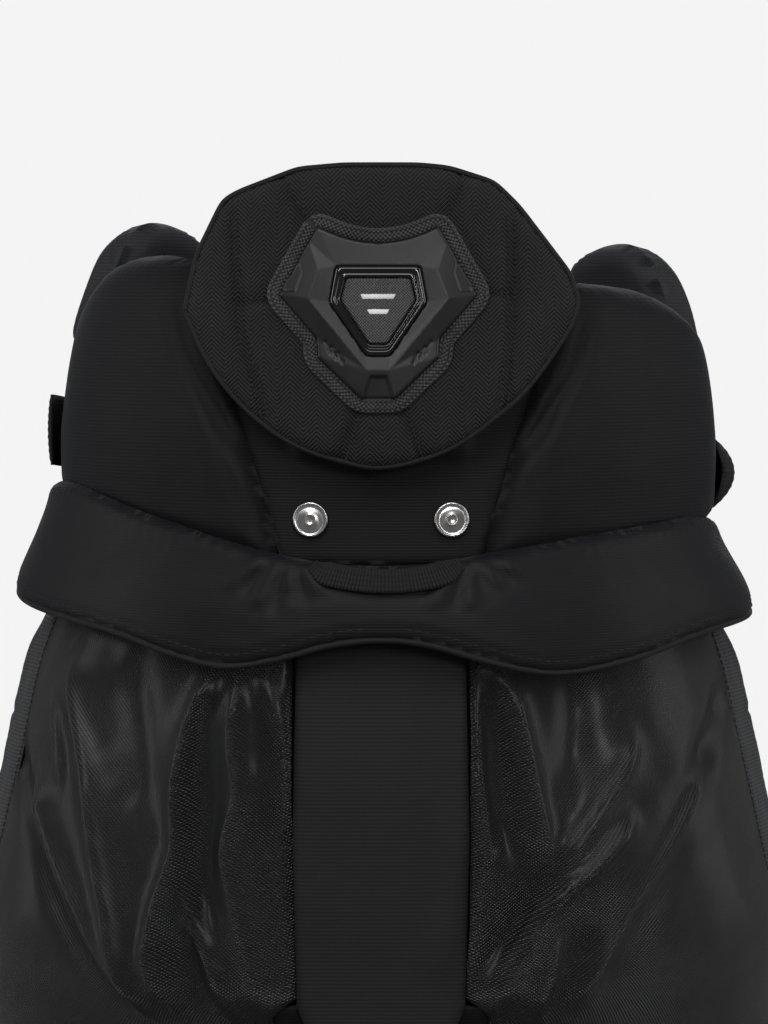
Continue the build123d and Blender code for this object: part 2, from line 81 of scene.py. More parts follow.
SHIELD_X = -1.5


# ---- outlines and distances ----------------------------------------------------------------------
def smoothstep(t):
    t = np.clip(t, 0, 1)
    return t * t * (3 - 2 * t)


def bell(gap, width, power=2):
    """1 where gap is 0, falling away over width; a higher power has a flatter top."""
    return np.exp(-((gap / width) ** power))


def run_length(path):
    """The distance along a polyline to each of its points."""
    return np.concatenate([[0], np.cumsum(np.linalg.norm(np.diff(path, axis=0), axis=1))])


def circle(count):
    return np.arange(count) * 2 * pi / count


def droop(x, z):
    """z lowered as the soft right side hangs."""
    return z - RIGHT_DROOP * smoothstep((np.asarray(x, float) - DROOP_START) / (DROOP_END - DROOP_START))


def along(levels, column, z):
    """A column of the levels at heights z, on a smooth curve through them."""
    table = np.array(sorted(levels), float)
    zs, values = table[:, 0], table[:, column]
    slopes = np.gradient(values, zs)
    z = np.clip(z, zs[0], zs[-1])
    i = np.clip(np.searchsorted(zs, z) - 1, 0, len(zs) - 2)
    h = zs[i + 1] - zs[i]
    t = (z - zs[i]) / h
    return ((2 * t**3 - 3 * t**2 + 1) * values[i] + (t**3 - 2 * t**2 + t) * h * slopes[i]
            + (3 * t**2 - 2 * t**3) * values[i + 1] + (t**3 - t**2) * h * slopes[i + 1])


def dense(points, step, closed=True):
    """The polyline's points, with more between them so that none are further apart than step."""
    points = np.asarray(points, float)
    ends = np.roll(points, -1, axis=0) if closed else points[1:]
    out = []
    for a, b in zip(points, ends):
        count = max(1, int(np.ceil(np.linalg.norm(b - a) / step)))
        out += [a + (b - a) * k / count for k in range(count)]
    if not closed:
        out.append(points[-1])
    return np.array(out)


def eased(points, rounds, closed=True):
    """The dense outline with its corners rounded, more with more rounds."""
    points = np.asarray(points, float)
    for _ in range(rounds):
        mean = (np.roll(points, 1, axis=0) + np.roll(points, -1, axis=0) + 2 * points) / 4
        if not closed:
            mean[0], mean[-1] = points[0], points[-1]
        points = mean
    return points


def spline(points, step):
    """A smooth curve through the points."""
    p = np.asarray(points, float)
    last = len(p) - 1
    out = []
    for i in range(last):
        a, b, c, d = p[max(i - 1, 0)], p[i], p[i + 1], p[min(i + 2, last)]
        count = max(2, int(np.ceil(np.linalg.norm(c - b) / step)))
        t = np.arange(count)[:, None] / count
        out.append(0.5 * (2 * b + (c - a) * t + (2 * a - 5 * b + 4 * c - d) * t**2
                          + (3 * b - a - 3 * c + d) * t**3))
    return np.vstack([*out, p[-1:]])


def distance(points, line, closed=False):
    """Each point's distance to a polyline."""
    line = np.asarray(line, float)
    best = np.full(len(points), 1e9)
    ends = np.roll(line, -1, axis=0) if closed else line[1:]
    for a, b in zip(line, ends):
        ab = b - a
        t = np.clip(((points - a) @ ab) / max(ab @ ab, 1e-12), 0, 1)
        best = np.minimum(best, np.linalg.norm(points - a - t[:, None] * ab, axis=1))
    return best


def inside(points, outline):
    """Whether each point is inside a closed outline."""
    found = np.zeros(len(points), bool)
    x, y = points[:, 0], points[:, 1]
    for a, b in zip(outline, np.roll(outline, -1, axis=0)):
        crosses = (a[1] > y) != (b[1] > y)
        with np.errstate(divide="ignore", invalid="ignore"):
            at = (b[0] - a[0]) * (y - a[1]) / (b[1] - a[1]) + a[0]
        found ^= crosses & (x < at)
    return found


def fill(outline, step, features=()):
    """Points and triangles that fill a closed outline."""
    low, high = outline.min(0), outline.max(0)
    rows = np.arange(low[1], high[1], step * 0.87)
    grid = np.array([(x + (k % 2) * step / 2, y) for k, y in enumerate(rows)
                     for x in np.arange(low[0], high[0], step)])
    lines = [dense(f, step, closed=False) for f in features]
    keep = inside(grid, outline) & (distance(grid, outline, True) > 0.55 * step)
    for line in lines:
        keep &= distance(grid, line) > 0.5 * step
    points, edges = [outline], [(i, (i + 1) % len(outline)) for i in range(len(outline))]
    count = len(outline)
    for line in lines:
        edges += [(count + i, count + i + 1) for i in range(len(line) - 1)]
        points.append(line)
        count += len(line)
    points = np.vstack([*points, grid[keep]])
    vectors = [Vector(p) for p in points]
    result = geometry.delaunay_2d_cdt(vectors, edges, [list(range(len(outline)))], 1, 1e-4)
    flat = np.array([tuple(v) for v in result[0]])
    tris = [list(f) for f in result[2]]
    middles = np.array([flat[t].mean(0) for t in tris])
    tris = [t for t, ok in zip(tris, inside(middles, outline)) if ok]
    return flat, tris


# ---- surfaces --------------------------------------------------------------------------------------
def ring(levels):
    """Cloth coordinates (millimetres round the ring from the rear middle, height) to the body ring."""
    def place(p, off):
        angle = p[:, 0] / RING_RADIUS
        a = along(levels, 1, p[:, 1]) + off
        b = along(levels, 2, p[:, 1]) + off
        return np.stack([a * np.sin(angle), -b * np.cos(angle), p[:, 1]], axis=1)
    return place


def on_ring(levels, points):
    """Cloth coordinates of points given as (x, z) in the rear view."""
    points = np.asarray(points, float)
    share = np.clip(points[:, 0] / along(levels, 1, points[:, 1]), -1, 1)
    return np.stack([RING_RADIUS * np.arcsin(share), points[:, 1]], axis=1)


def guard(p, off):
    """The spine guard's face: a cylinder that leans forward, with cloth coordinates (x, z)."""
    x = p[:, 0]
    y = GUARD_Y + (p[:, 1] - GUARD_Z) * tan(radians(GUARD_LEAN))
    y = y + GUARD_RADIUS - np.sqrt(GUARD_RADIUS**2 - x**2)
    return np.stack([x, y - off, p[:, 1]], axis=1)


OUTER_ARC, INNER_ARC = 556.0, 147.0       # cloth round one half of the seat, and up the inner thigh
INNER_ANGLE = 140.0                       # where the inner thigh starts on the leg, from its outer side
CROTCH_Z, LEG_Z, HIP_RISE = 212.0, 150.0, 60.0
HIP_FLARE, FLARE_Z = 8.0, 400.0           # how far the cloth stands off the hips under the flap, and where


def power(value, n):
    """A coordinate of a superellipse, from the sine or cosine of its angle."""
    return np.sign(value) * np.abs(value) ** (2 / n)


def trousers(side):
    """One half of the seat and its leg. Cloth coordinates go from the rear middle round the outside."""
    def place(p, off):
        s, z = np.mod(p[:, 0], OUTER_ARC + INNER_ARC), p[:, 1]
        out = s <= OUTER_ARC
        a, b = (along(SEAT_LEVELS, k, z) + off for k in (1, 2))
        a = a + HIP_FLARE * bell(z - FLARE_Z, 45)
        n = along(SEAT_LEVELS, 3, z)
        theta = np.clip(s / OUTER_ARC, 0, 1) * pi
        inner = np.clip((s - OUTER_ARC) / INNER_ARC, 0, 1)
        seat_x = np.where(out, a * power(np.sin(theta), n), 0.0)
        seat_y = np.where(out, -b * power(np.cos(theta), n), b * np.cos(pi * inner))
        la, lb, ln, lc = (along(LEG_LEVELS, k, z) for k in (1, 2, 3, 4))
        half = radians(INNER_ANGLE)
        phi = np.where(out, (2 * s / OUTER_ARC - 1) * half, half + inner * 2 * (pi - half))
        leg_x = lc + (la + off) * power(np.cos(phi), ln)
        leg_y = (lb + off) * power(np.sin(phi), ln)
        top = CROTCH_Z + HIP_RISE * np.where(out, np.sin(theta), 0.0)
        w = smoothstep((top - z) / (top - LEG_Z))
        return np.stack([side * (seat_x + (leg_x - seat_x) * w), seat_y + (leg_y - seat_y) * w, z], axis=1)
    return place


def seat(p, off):
    """The rear or front middle of the seat, with cloth coordinates (x, z); the front has off reversed."""
    a, b = (along(SEAT_LEVELS, k, p[:, 1]) for k in (1, 2))
    n = along(SEAT_LEVELS, 3, p[:, 1])
    y = -(b + off) * (1 - np.abs(p[:, 0] / (a + off)) ** n) ** (1 / n)
    return np.stack([p[:, 0], y, p[:, 1]], axis=1)


def on_trousers(points):
    """Cloth coordinates on one half of the seat, of points (distance from the middle, z) in the rear view."""
    points = np.asarray(points, float)
    a, n = (along(SEAT_LEVELS, k, points[:, 1]) for k in (1, 3))
    share = np.clip(np.abs(points[:, 0]) / a, 0, 1) ** (n / 2)
    return np.stack([np.arcsin(share) / pi * OUTER_ARC, points[:, 1]], axis=1)


# ---- meshes ----------------------------------------------------------------------------------------
def in_scene(name, data, material=None):
    """A new object in the scene, with its material."""
    obj = bpy.data.objects.new(name, data)
    bpy.context.scene.collection.objects.link(obj)
    if material:
        data.materials.append(material)
    return obj


def to_object(name, verts, faces, cloth, material, smooth=True):
    """A mesh object from millimetre points, with its cloth coordinates kept for the weave."""
    verts = np.asarray(verts, float) + (0, SHIFT_Y, 0)
    mesh = bpy.data.meshes.new(name)
    mesh.from_pydata((verts * MM).tolist(), [], [list(map(int, f)) for f in faces])
    weave = mesh.attributes.new("weave", "FLOAT_VECTOR", "POINT")
    flat = np.zeros((len(verts), 3), np.float32)
    flat[:, :2] = np.asarray(cloth)[:, :2]
    weave.data.foreach_set("vector", flat.ravel())
    mesh.polygons.foreach_set("use_smooth", [smooth] * len(mesh.polygons))
    mesh.validate()
    mesh.update()
    return face_outwards(in_scene(name, mesh, material))


def fits(obj, body, nodes):
    """The piece rides on a body, if one is given, and stands for its CAD nodes, which are hidden."""
    if body:
        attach(obj, body)
    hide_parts(*nodes)
    return obj


def dome(depth, width):
    """0 at the edge of a pad, rising as a quarter round to 1 at width from it."""
    return np.sqrt(1 - (1 - np.clip(depth / width, 0, 1)) ** 2)


def crown(edge, rise, width):
    """A face of a pad: offset edge at its rim, and edge + rise from width inside it on."""
    return lambda p, depth: edge + rise * dome(depth, width)


def panel(name, place, outline, front, back, material, step=3.5, features=()):
    """A closed piece on a surface: front and back give each point's offset from its distance to the edge."""
    flat, tris = fill(np.asarray(outline, float), step, features)
    depth = distance(flat, outline, True)
    outer = place(flat, np.broadcast_to(front(flat, depth), len(flat)))
    inner = place(flat, np.broadcast_to(back(flat, depth), len(flat)))
    count = len(flat)
    edges = {(t[i], t[(i + 1) % 3]): True for t in tris for i in range(3)}
    rim = [(a, b) for a, b in edges if (b, a) not in edges]
    faces = tris + [[count + i for i in reversed(t)] for t in tris]
    faces += [[b, a, count + a, count + b] for a, b in rim]
    return to_object(name, np.vstack([outer, inner]), faces, np.vstack([flat, flat]), material)


def face_outwards(obj):
    """Turns the mesh's faces so that they point out of the solid."""
    bm = bmesh.new()
    bm.from_mesh(obj.data)
    bmesh.ops.recalc_face_normals(bm, faces=bm.faces)
    bm.to_mesh(obj.data)
    bm.free()
    return obj


def tube_faces(rings, count, closed=False, start=0):
    """Quads that join rings of count points, each ring to the next, and the last to the first if closed."""
    faces = []
    for i in range(rings if closed else rings - 1):
        a, b = start + i * count, start + (i + 1) % rings * count
        faces += [[a + j, a + (j + 1) % count, b + (j + 1) % count, b + j] for j in range(count)]
    return faces


def end_faces(rings, count, start=0):
    """The two faces that close a tube of rings."""
    last = start + (rings - 1) * count
    return [[start + j for j in reversed(range(count))], [last + j for j in range(count)]]


def sweep(name, place, path, section, material, closed=True, scale=None):
    """A closed section of (across, height) points carried along a path on a surface."""
    path = np.asarray(path, float)
    section = np.asarray(section, float)
    if closed:
        tangent = np.roll(path, -1, axis=0) - np.roll(path, 1, axis=0)
    else:
        tangent = np.gradient(path, axis=0)
    tangent /= np.maximum(np.linalg.norm(tangent, axis=1), 1e-9)[:, None]
    normal = np.stack([-tangent[:, 1], tangent[:, 0]], axis=1)
    n, m = len(path), len(section)
    scale = np.ones(n) if scale is None else scale
    verts, cloth = [], []
    run = run_length(path)
    for i in range(n):
        flat = path[i] + normal[i] * section[:, :1] * scale[i]
        verts.append(place(flat, section[:, 1] * scale[i]))
        cloth.append(np.stack([np.full(m, run[i]), section[:, 0]], axis=1))
    faces = tube_faces(n, m, closed)
    if not closed:
        faces += [end[::-1] for end in end_faces(n, m)]
    return to_object(name, np.vstack(verts), faces, np.vstack(cloth), material)


def round_section(radius, height, sides=10):
    angle = circle(sides)
    return np.stack([radius * np.cos(angle), height + radius * np.sin(angle)], axis=1)


def strap_section(width, low, high, cells=12, rib=0.0):
    """A flat strap with rounded edges, its face ribbed along its length."""
    x = np.linspace(-1, 1, cells + 1)
    edge = (1 - np.abs(x) ** 8) * 0.5 + 0.5
    middle_height = (low + high) / 2
    up = middle_height + (high - middle_height) * edge + rib * np.cos(np.arange(cells + 1) * pi)
    down = middle_height + (low - middle_height) * edge
    top = np.stack([x * width / 2, up], axis=1)
    bottom = np.stack([x[::-1] * width / 2, down[::-1]], axis=1)
    return np.vstack([top, bottom])


def stitches(name, body, place, path, pitch, length, radius, height, closed=False):
    """A row of separate thread stitches lying on a surface, as one mesh that rides on a body."""
    path = np.asarray(path, float)
    if closed:
        path = np.vstack([path, path[:1]])
    run = run_length(path)
    starts = np.arange(pitch / 2, run[-1] - length, pitch)
    verts, faces, cloth = [], [], []
    rings = ((0.0, 0.25, -0.6), (0.18, 1.0, 0.0), (0.5, 1.15, 0.25), (0.82, 1.0, 0.0), (1.0, 0.25, -0.6))
    corners = 6
    angle = circle(corners)
    for start in starts:
        base = len(verts)
        a = np.array([np.interp(start, run, path[:, k]) for k in (0, 1)])
        b = np.array([np.interp(start + length, run, path[:, k]) for k in (0, 1)])
        direction = (b - a) / max(np.linalg.norm(b - a), 1e-9)
        normal = np.array([-direction[1], direction[0]])
        for share, size, lift in rings:
            flat = a + (b - a) * share + normal * (radius * size * np.cos(angle))[:, None]
            verts += list(place(flat, height + radius * (lift + size * np.sin(angle))))
            cloth += list(flat)
        faces += tube_faces(len(rings), corners, start=base) + end_faces(len(rings), corners, base)
    return fits(to_object(name, verts, faces, cloth, THREAD), body, [])


def groove(points, line, width, depth):
    return -depth * bell(distance(points, line), width)


def ridge(points, line, width, height, fade=30.0):
    """A fold along a line, dying away at both of its ends."""
    line = spline(line, 6)
    gap = distance(points, line)
    ends = np.minimum(np.linalg.norm(points - line[0], axis=1), np.linalg.norm(points - line[-1], axis=1))
    crest = np.exp(-(np.sqrt(gap**2 + 1.5) - 1.2) / width) if height > 0 else bell(gap, width)
    return height * crest * smoothstep(ends / fade)


def folded(rise, points, folds, fade=30.0, gain=1.0):
    """The offsets with (line, width, height) folds added."""
    for line, width, height in folds:
        rise = rise + gain * ridge(points, line, width, height, fade)
    return rise


def wander(points, size, seed):
    """Smooth bumps of about that size, between -1 and 1, the same each run."""
    rng = np.random.default_rng(seed)
    total = np.zeros(len(points))
    for _ in range(7):
        angle, phase = rng.uniform(0, 2 * pi, 2)
        wave = rng.uniform(0.6, 1.6) * 2 * pi / size
        total += np.sin(wave * (points[:, 0] * np.cos(angle) + points[:, 1] * np.sin(angle)) + phase)
    return total / 7


# ---- materials -------------------------------------------------------------------------------------
class Nodes:
    """A short way to build a shader's nodes."""

    def __init__(self, name):
        self.material = bpy.data.materials.new(name)
        self.material.use_nodes = True
        self.tree = self.material.node_tree
        self.shader = self.tree.nodes["Principled BSDF"]

    def node(self, kind, **values):
        made = self.tree.nodes.new("ShaderNode" + kind)
        for key, value in values.items():
            setattr(made, key, value)
        return made

    def link(self, a, b):
        self.tree.links.new(a, b)

    def math(self, operation, a, b=None, c=None):
        made = self.node("Math", operation=operation)
        for socket, value in zip(made.inputs, (a, b, c)):
            if value is None:
                continue
            if isinstance(value, (int, float)):
                socket.default_value = value
            else:
                self.link(value, socket)
        return made.outputs[0]

    def set(self, **values):
        for key, value in values.items():
            self.shader.inputs[key.replace("_", " ")].default_value = value

    def cloth(self):
        """The cloth coordinates in millimetres, as two outputs."""
        attribute = self.node("Attribute", attribute_name="weave")
        split = self.node("SeparateXYZ")
        self.link(attribute.outputs["Vector"], split.inputs[0])
        return attribute.outputs["Vector"], split.outputs[0], split.outputs[1]

    def wave(self, value, period):
        return self.math("SINE", self.math("MULTIPLY", value, 2 * pi / period))

    def noise(self, vector, scale, detail):
        made = self.node("TexNoise")
        made.inputs["Scale"].default_value = scale
        made.inputs["Detail"].default_value = detail
        made.inputs["Roughness"].default_value = 0.6
        self.link(vector, made.inputs["Vector"])
        return made.outputs[0]

    def ramp(self, value, stops):
        made = self.node("ValToRGB")
        ramp = made.color_ramp
        while len(ramp.elements) < len(stops):
            ramp.elements.new(0.5)
        for element, (at, colour) in zip(ramp.elements, stops):
            element.position = at
            element.color = (*colour, 1)
        self.link(value, made.inputs[0])
        return made.outputs[0]

    def bump(self, height, distance_mm):
        made = self.node("Bump")
        made.inputs["Strength"].default_value = 1.0
        made.inputs["Distance"].default_value = distance_mm * MM
        self.link(height, made.inputs["Height"])
        self.link(made.outputs[0], self.shader.inputs["Normal"])


def grey(value, blue=1.08):
    return (value, value, value * blue)


def fabric(name, weave, low, high, roughness=0.85, depth=0.25, sheen=0.15, wear=0.25,
           gloss=0.25, coat=0.0):
    """Cloth: weave(nodes, u, v) gives the thread height from -1 to 1; colours run from low to high."""
    n = Nodes(name)
    vector, u, v = n.cloth()
    height = weave(n, u, v)
    soil = n.noise(vector, 0.035, 4.0)
    fibre = n.noise(vector, 1.7, 2.0)
    mixed = n.math("MULTIPLY_ADD", height, 0.32, 0.5)
    mixed = n.math("MULTIPLY_ADD", n.math("SUBTRACT", soil, 0.5), wear, mixed)
    mixed = n.math("MULTIPLY_ADD", n.math("SUBTRACT", fibre, 0.5), 0.35, mixed)
    colour = n.ramp(mixed, [(0.0, low), (1.0, high)])
    n.link(colour, n.shader.inputs["Base Color"])
    rough = n.math("MULTIPLY_ADD", n.math("SUBTRACT", soil, 0.5), 0.2, roughness)
    n.link(rough, n.shader.inputs["Roughness"])
    n.set(Sheen_Weight=sheen, Sheen_Roughness=0.4, Specular_IOR_Level=gloss)
    n.set(Coat_Weight=coat, Coat_Roughness=0.3)
    n.shader.inputs["Sheen Tint"].default_value = (0.8, 0.85, 1, 1)
    bumps = n.math("MULTIPLY_ADD", fibre, 0.5, height)
    n.bump(bumps, depth)
    return n.material


def plain_weave(period):
    def weave(n, u, v):
        return n.math("MULTIPLY", n.wave(u, period), n.wave(v, period))
    return weave


def fine_ribs(period, share=0.5):
    """Ribs across the cloth with finer threads over them."""
    def weave(n, u, v):
        ribs = n.wave(v, period)
        threads = n.math("MULTIPLY", n.wave(u, period * 0.6), n.wave(v, period * 0.6))
        return n.math("ADD", n.math("MULTIPLY", ribs, share), n.math("MULTIPLY", threads, 1 - share))
    return weave


def diamond_knit(period):
    """Open mesh: small holes at the corners of a diamond lattice."""
    def weave(n, u, v):
        a = n.wave(n.math("ADD", u, v), period)
        b = n.wave(n.math("SUBTRACT", u, v), period)
        cell = n.math("MULTIPLY", a, b)
        hole = n.math("POWER", n.math("ABSOLUTE", cell), 0.6)
        return n.math("SUBTRACT", 1.0, n.math("MULTIPLY", hole, 2.0))
    return weave


def herringbone(period, column):
    """Slanted threads that change direction from column to column."""
    def weave(n, u, v):
        slope = n.math("PINGPONG", n.math("ADD", u, 1000.0), column)
        twill = n.wave(n.math("ADD", v, slope), period)
        threads = n.wave(n.math("SUBTRACT", v, slope), period * 0.5)
        return n.math("ADD", n.math("MULTIPLY", twill, 0.7), n.math("MULTIPLY", threads, 0.3))
    return weave


def webbing_weave(n, u, v):
    ribs = n.wave(u, 1.5)
    rows = n.wave(v, 2.6)
    return n.math("ADD", n.math("MULTIPLY", ribs, 0.75), n.math("MULTIPLY", rows, 0.25))


def plastic(name, base, roughness, grain, grain_depth, coat=0.0):
    """Moulded plastic with a fine grain and slightly uneven gloss."""
    n = Nodes(name)
    coordinates = n.node("TexCoord").outputs["Object"]
    small = n.noise(coordinates, grain, 3.0)
    large = n.noise(coordinates, 45.0, 4.0)
    colour = n.ramp(large, [(0.3, tuple(c * 0.8 for c in base)), (0.75, tuple(c * 1.35 for c in base))])
    n.link(colour, n.shader.inputs["Base Color"])
    uneven = n.math("MULTIPLY_ADD", n.math("SUBTRACT", large, 0.5), roughness * 0.5, roughness)
    n.link(uneven, n.shader.inputs["Roughness"])
    n.set(Coat_Weight=coat, Coat_Roughness=0.08)
    n.bump(small, grain_depth)
    return n.material


def metal(name, base, roughness):
    """Plated metal with fine turning marks and a little tarnish."""
    n = Nodes(name)
    coordinates = n.node("TexCoord").outputs["Object"]
    tarnish = n.noise(coordinates, 160.0, 5.0)
    marks = n.noise(coordinates, 2200.0, 2.0)
    colour = n.ramp(tarnish, [(0.25, tuple(c * 0.72 for c in base)), (0.65, base)])
    n.link(colour, n.shader.inputs["Base Color"])
    uneven = n.math("MULTIPLY_ADD", n.math("SUBTRACT", tarnish, 0.5), 0.25, roughness)
    n.link(uneven, n.shader.inputs["Roughness"])
    n.set(Metallic=1.0)
    n.bump(marks, 0.02)
    return n.material


NYLON = fabric("smooth_nylon", fine_ribs(1.9), grey(0.003), grey(0.019, 1.12), 0.6, 0.05, 0.06, gloss=0.15)
FLAP_NYLON = fabric("flap_nylon", fine_ribs(1.5), grey(0.005), grey(0.012, 1.2), 0.5, 0.05, 0.05, gloss=0.2)
KNIT = fabric("mesh_knit", diamond_knit(3.6), grey(0.0003), grey(0.009, 1.04), 0.32, 0.5, 0.02,
              gloss=0.8, coat=0.25)
# The wings' nylon is the kidney pads' nylon painted lighter: its lighter colours are painted light from
# above.
WING_NYLON_PAINTED_LIGHT = fabric("wing_nylon_painted_light", fine_ribs(1.9), grey(0.008), grey(0.05, 1.1), 0.6, 0.05, 0.06, gloss=0.2)
WOVEN = fabric("woven_stretch", fine_ribs(2.1, 0.6), grey(0.012), grey(0.038, 1.05), 0.75, 0.07, 0.04,
               gloss=0.15)
SIDE_NYLON = fabric("side_nylon", fine_ribs(2.0, 0.9), grey(0.015), grey(0.065, 1.1), 0.5, 0.1, 0.15)
CORDURA = fabric("guard_cordura", herringbone(2.3, 7.0), grey(0.0005), grey(0.06, 1.04), 0.7, 0.5, 0.03,
                 gloss=0.15)
# The lumbar cloth's fine ribs are its own weave. Its colours, darker than the guard's cloth, are painted
# shade for the recess under the guard and the flap.
LUMBAR_CLOTH_PAINTED_SHADE = fabric("lumbar_nylon", fine_ribs(1.6), grey(0.003), grey(0.032, 1.06), 0.75, 0.12, 0.03,
                      gloss=0.12)
TRIM = fabric("trim_felt", plain_weave(2.4), grey(0.0005), grey(0.15, 1.02), 0.85, 0.8, 0.05, 0.7, gloss=0.15)
BADGE_GRID = fabric("badge_grid", plain_weave(1.6), grey(0.006), grey(0.12, 1.0), 0.32, 0.15, 0.0, gloss=0.5)
PIPING = fabric("piping_nylon", plain_weave(0.9), grey(0.004), grey(0.02, 1.1), 0.5, 0.08, 0.04)
WEBBING = fabric("webbing", webbing_weave, grey(0.002), grey(0.02, 1.02), 0.6, 0.3, 0.04)
LINER = fabric("liner_mesh", diamond_knit(3.4), grey(0.008), grey(0.04, 1.05), 0.9, 0.3, 0.05)
FOAM_COVER = fabric("pad_cover", plain_weave(1.4), grey(0.03), grey(0.1, 1.04), 0.9, 0.15, 0.1)
THREAD = fabric("thread", plain_weave(0.5), grey(0.008), grey(0.035, 1.05), 0.6, 0.05, 0.05)
SHIELD_PLASTIC = plastic("shield_satin", (0.009, 0.009, 0.0094), 0.4, 2600.0, 0.07)
GLOSS_PLASTIC = plastic("shield_gloss", (0.003, 0.003, 0.0032), 0.09, 900.0, 0.004, 0.6)
MARK_WHITE = plastic("badge_white", (0.8, 0.8, 0.8), 0.4, 1800.0, 0.01)
PLATE = plastic("pad_plate", (0.05, 0.05, 0.052), 0.45, 1500.0, 0.03)
ZINC = metal("zinc_hardware", (0.32, 0.32, 0.34), 0.36)


# ---- camera, light and stage -----------------------------------------------------------------------
FRAME_HEIGHT = 542.7      # millimetres of the rear face that the view holds
CAMERA_GAP = 2100.0       # from the rear face to the camera
AIM = (1.6, -150.0, 476.0)
CAMERA_RISE = 3.0         # degrees above the horizon
BACKDROP = (0.9, 0.9, 0.9)
WORLD_LIGHT = 0.15
LIGHTS = [   # name, place and height aimed at in metres, size, watts
    ("top_light", (0.0, -1.9, 2.3), 0.4, (2.2, 1.2), 22),
    ("left_spark", (-0.8, -2.3, 1.5), 0.5, (0.2, 0.7), 9),
    ("right_spark", (0.7, -2.5, 1.0), 0.5, (0.2, 0.5), 9),
    ("left_light", (-2.4, -0.3, 1.0), 0.4, (1.0, 2.2), 14),
    ("right_light", (2.4, -0.3, 1.0), 0.4, (1.0, 2.2), 14),
    ("far_light", (0.0, 2.6, 1.5), 0.4, (2.5, 2.0), 14),
]
FLOOR_SIZE = 9.0          # metres from the middle to the floor's edge


def make_camera():
    data = bpy.data.cameras.new("camera")
    camera = in_scene("camera", data)
    data.sensor_width = 36.0
    data.lens = data.sensor_width * CAMERA_GAP / FRAME_HEIGHT
    aim = Vector(AIM) * MM + Vector((0, SHIFT_Y * MM, 0))
    rise = radians(CAMERA_RISE)
    gap = CAMERA_GAP * MM
    camera.location = aim + Vector((0, -gap * np.cos(rise), gap * np.sin(rise)))
    camera.rotation_euler = (pi / 2 - rise, 0, 0)
    data.clip_end = 50
    bpy.context.scene.camera = camera


def area_light(name, place, aim_height, size, power_watts):
    data = bpy.data.lights.new(name, "AREA")
    data.shape = "RECTANGLE"
    data.size, data.size_y = size
    data.energy = power_watts
    light = in_scene(name, data)
    light.location = place
    aim = Vector((0, 0, aim_height))
    light.rotation_euler = (aim - Vector(place)).to_track_quat("-Z", "Y").to_euler()


def make_stage():
    """A pale floor that fades into a backdrop of one pale grey, and soft light from above and the sides."""
    world = bpy.data.worlds.new("studio")
    bpy.context.scene.world = world
    world.use_nodes = True
    world.node_tree.nodes["Background"].inputs[0].default_value = (0.9, 0.9, 0.9, 1)
    world.node_tree.nodes["Background"].inputs[1].default_value = WORLD_LIGHT
    bpy.context.scene.view_settings.view_transform = "Standard"
    n = Nodes("floor")
    place = n.node("SeparateXYZ")
    n.link(n.node("NewGeometry").outputs["Position"], place.inputs[0])
    flat = n.math("ADD", n.math("POWER", place.outputs[0], 2.0), n.math("POWER", place.outputs[1], 2.0))
    far = n.math("MULTIPLY_ADD", n.math("SQRT", flat), 1.7, -1.0)
    n.link(n.ramp(far, [(0.0, (0.8, 0.8, 0.8)), (1.0, (0.0, 0.0, 0.0))]), n.shader.inputs["Base Color"])
    n.link(n.ramp(far, [(0.0, (0.5, 0.5, 0.5)), (1.0, BACKDROP)]), n.shader.inputs["Emission Color"])
    n.set(Roughness=1.0, Emission_Strength=1.0, Specular_IOR_Level=0.0)
    mesh = bpy.data.meshes.new("floor")
    corners = [(-1, -1, 0), (1, -1, 0), (1, 1, 0), (-1, 1, 0)]
    mesh.from_pydata([tuple(c * FLOOR_SIZE for c in corner) for corner in corners], [], [(0, 1, 2, 3)])
    floor = in_scene("floor", mesh, n.material)
    n = Nodes("backdrop")
    n.shader.inputs["Base Color"].default_value = (0, 0, 0, 1)
    n.shader.inputs["Emission Color"].default_value = (*BACKDROP, 1)
    n.set(Roughness=1.0, Emission_Strength=1.0, Specular_IOR_Level=0.0)
    bpy.ops.mesh.primitive_uv_sphere_add(segments=32, ring_count=16, radius=FLOOR_SIZE - 0.5)
    backdrop = bpy.context.object
    backdrop.name = "backdrop"
    backdrop.data.materials.append(n.material)
    backdrop.visible_shadow = False
    for background in (floor, backdrop):
        background.visible_diffuse = False
        background.visible_glossy = False
    for light in LIGHTS:
        area_light(*light)


# ---- waist pads ------------------------------------------------------------------------------------
PAD_THICKNESS = 24.0


def hung(points, side):
    """A left side outline (positive distances from the middle) on a side, drooping on the right."""
    points = np.asarray(points, float)
    x = side * points[:, 0]
    return np.stack([x, droop(x, points[:, 1])], axis=1)


def ordered(outline):
    """The outline anticlockwise, as the filling wants it."""
    x, y = outline[:, 0], outline[:, 1]
    area = np.sum(x * np.roll(y, -1) - np.roll(x, -1) * y)
    return outline if area > 0 else outline[::-1]


def kidney_outline(side):
    edge = radians(92) * RING_RADIUS
    top_angles = [(92, 578), (86, 594), (75, 607), (66, 612), (52, 613), (42, 609)]
    top = [(radians(angle) * RING_RADIUS, z) for angle, z in top_angles]
    inner = [(97, 598), (90, 560), (72, 505), (56, 446)]
    low = [(100, 455), (150, 469)]
    flat = np.vstack([top, on_ring(PAD_LEVELS, inner + low), [edge, 476]])
    x = side * flat[:, 0]
    drop = droop(x * 1.05, flat[:, 1])
    return ordered(eased(dense(np.stack([x, drop], axis=1), 3.5), 9))


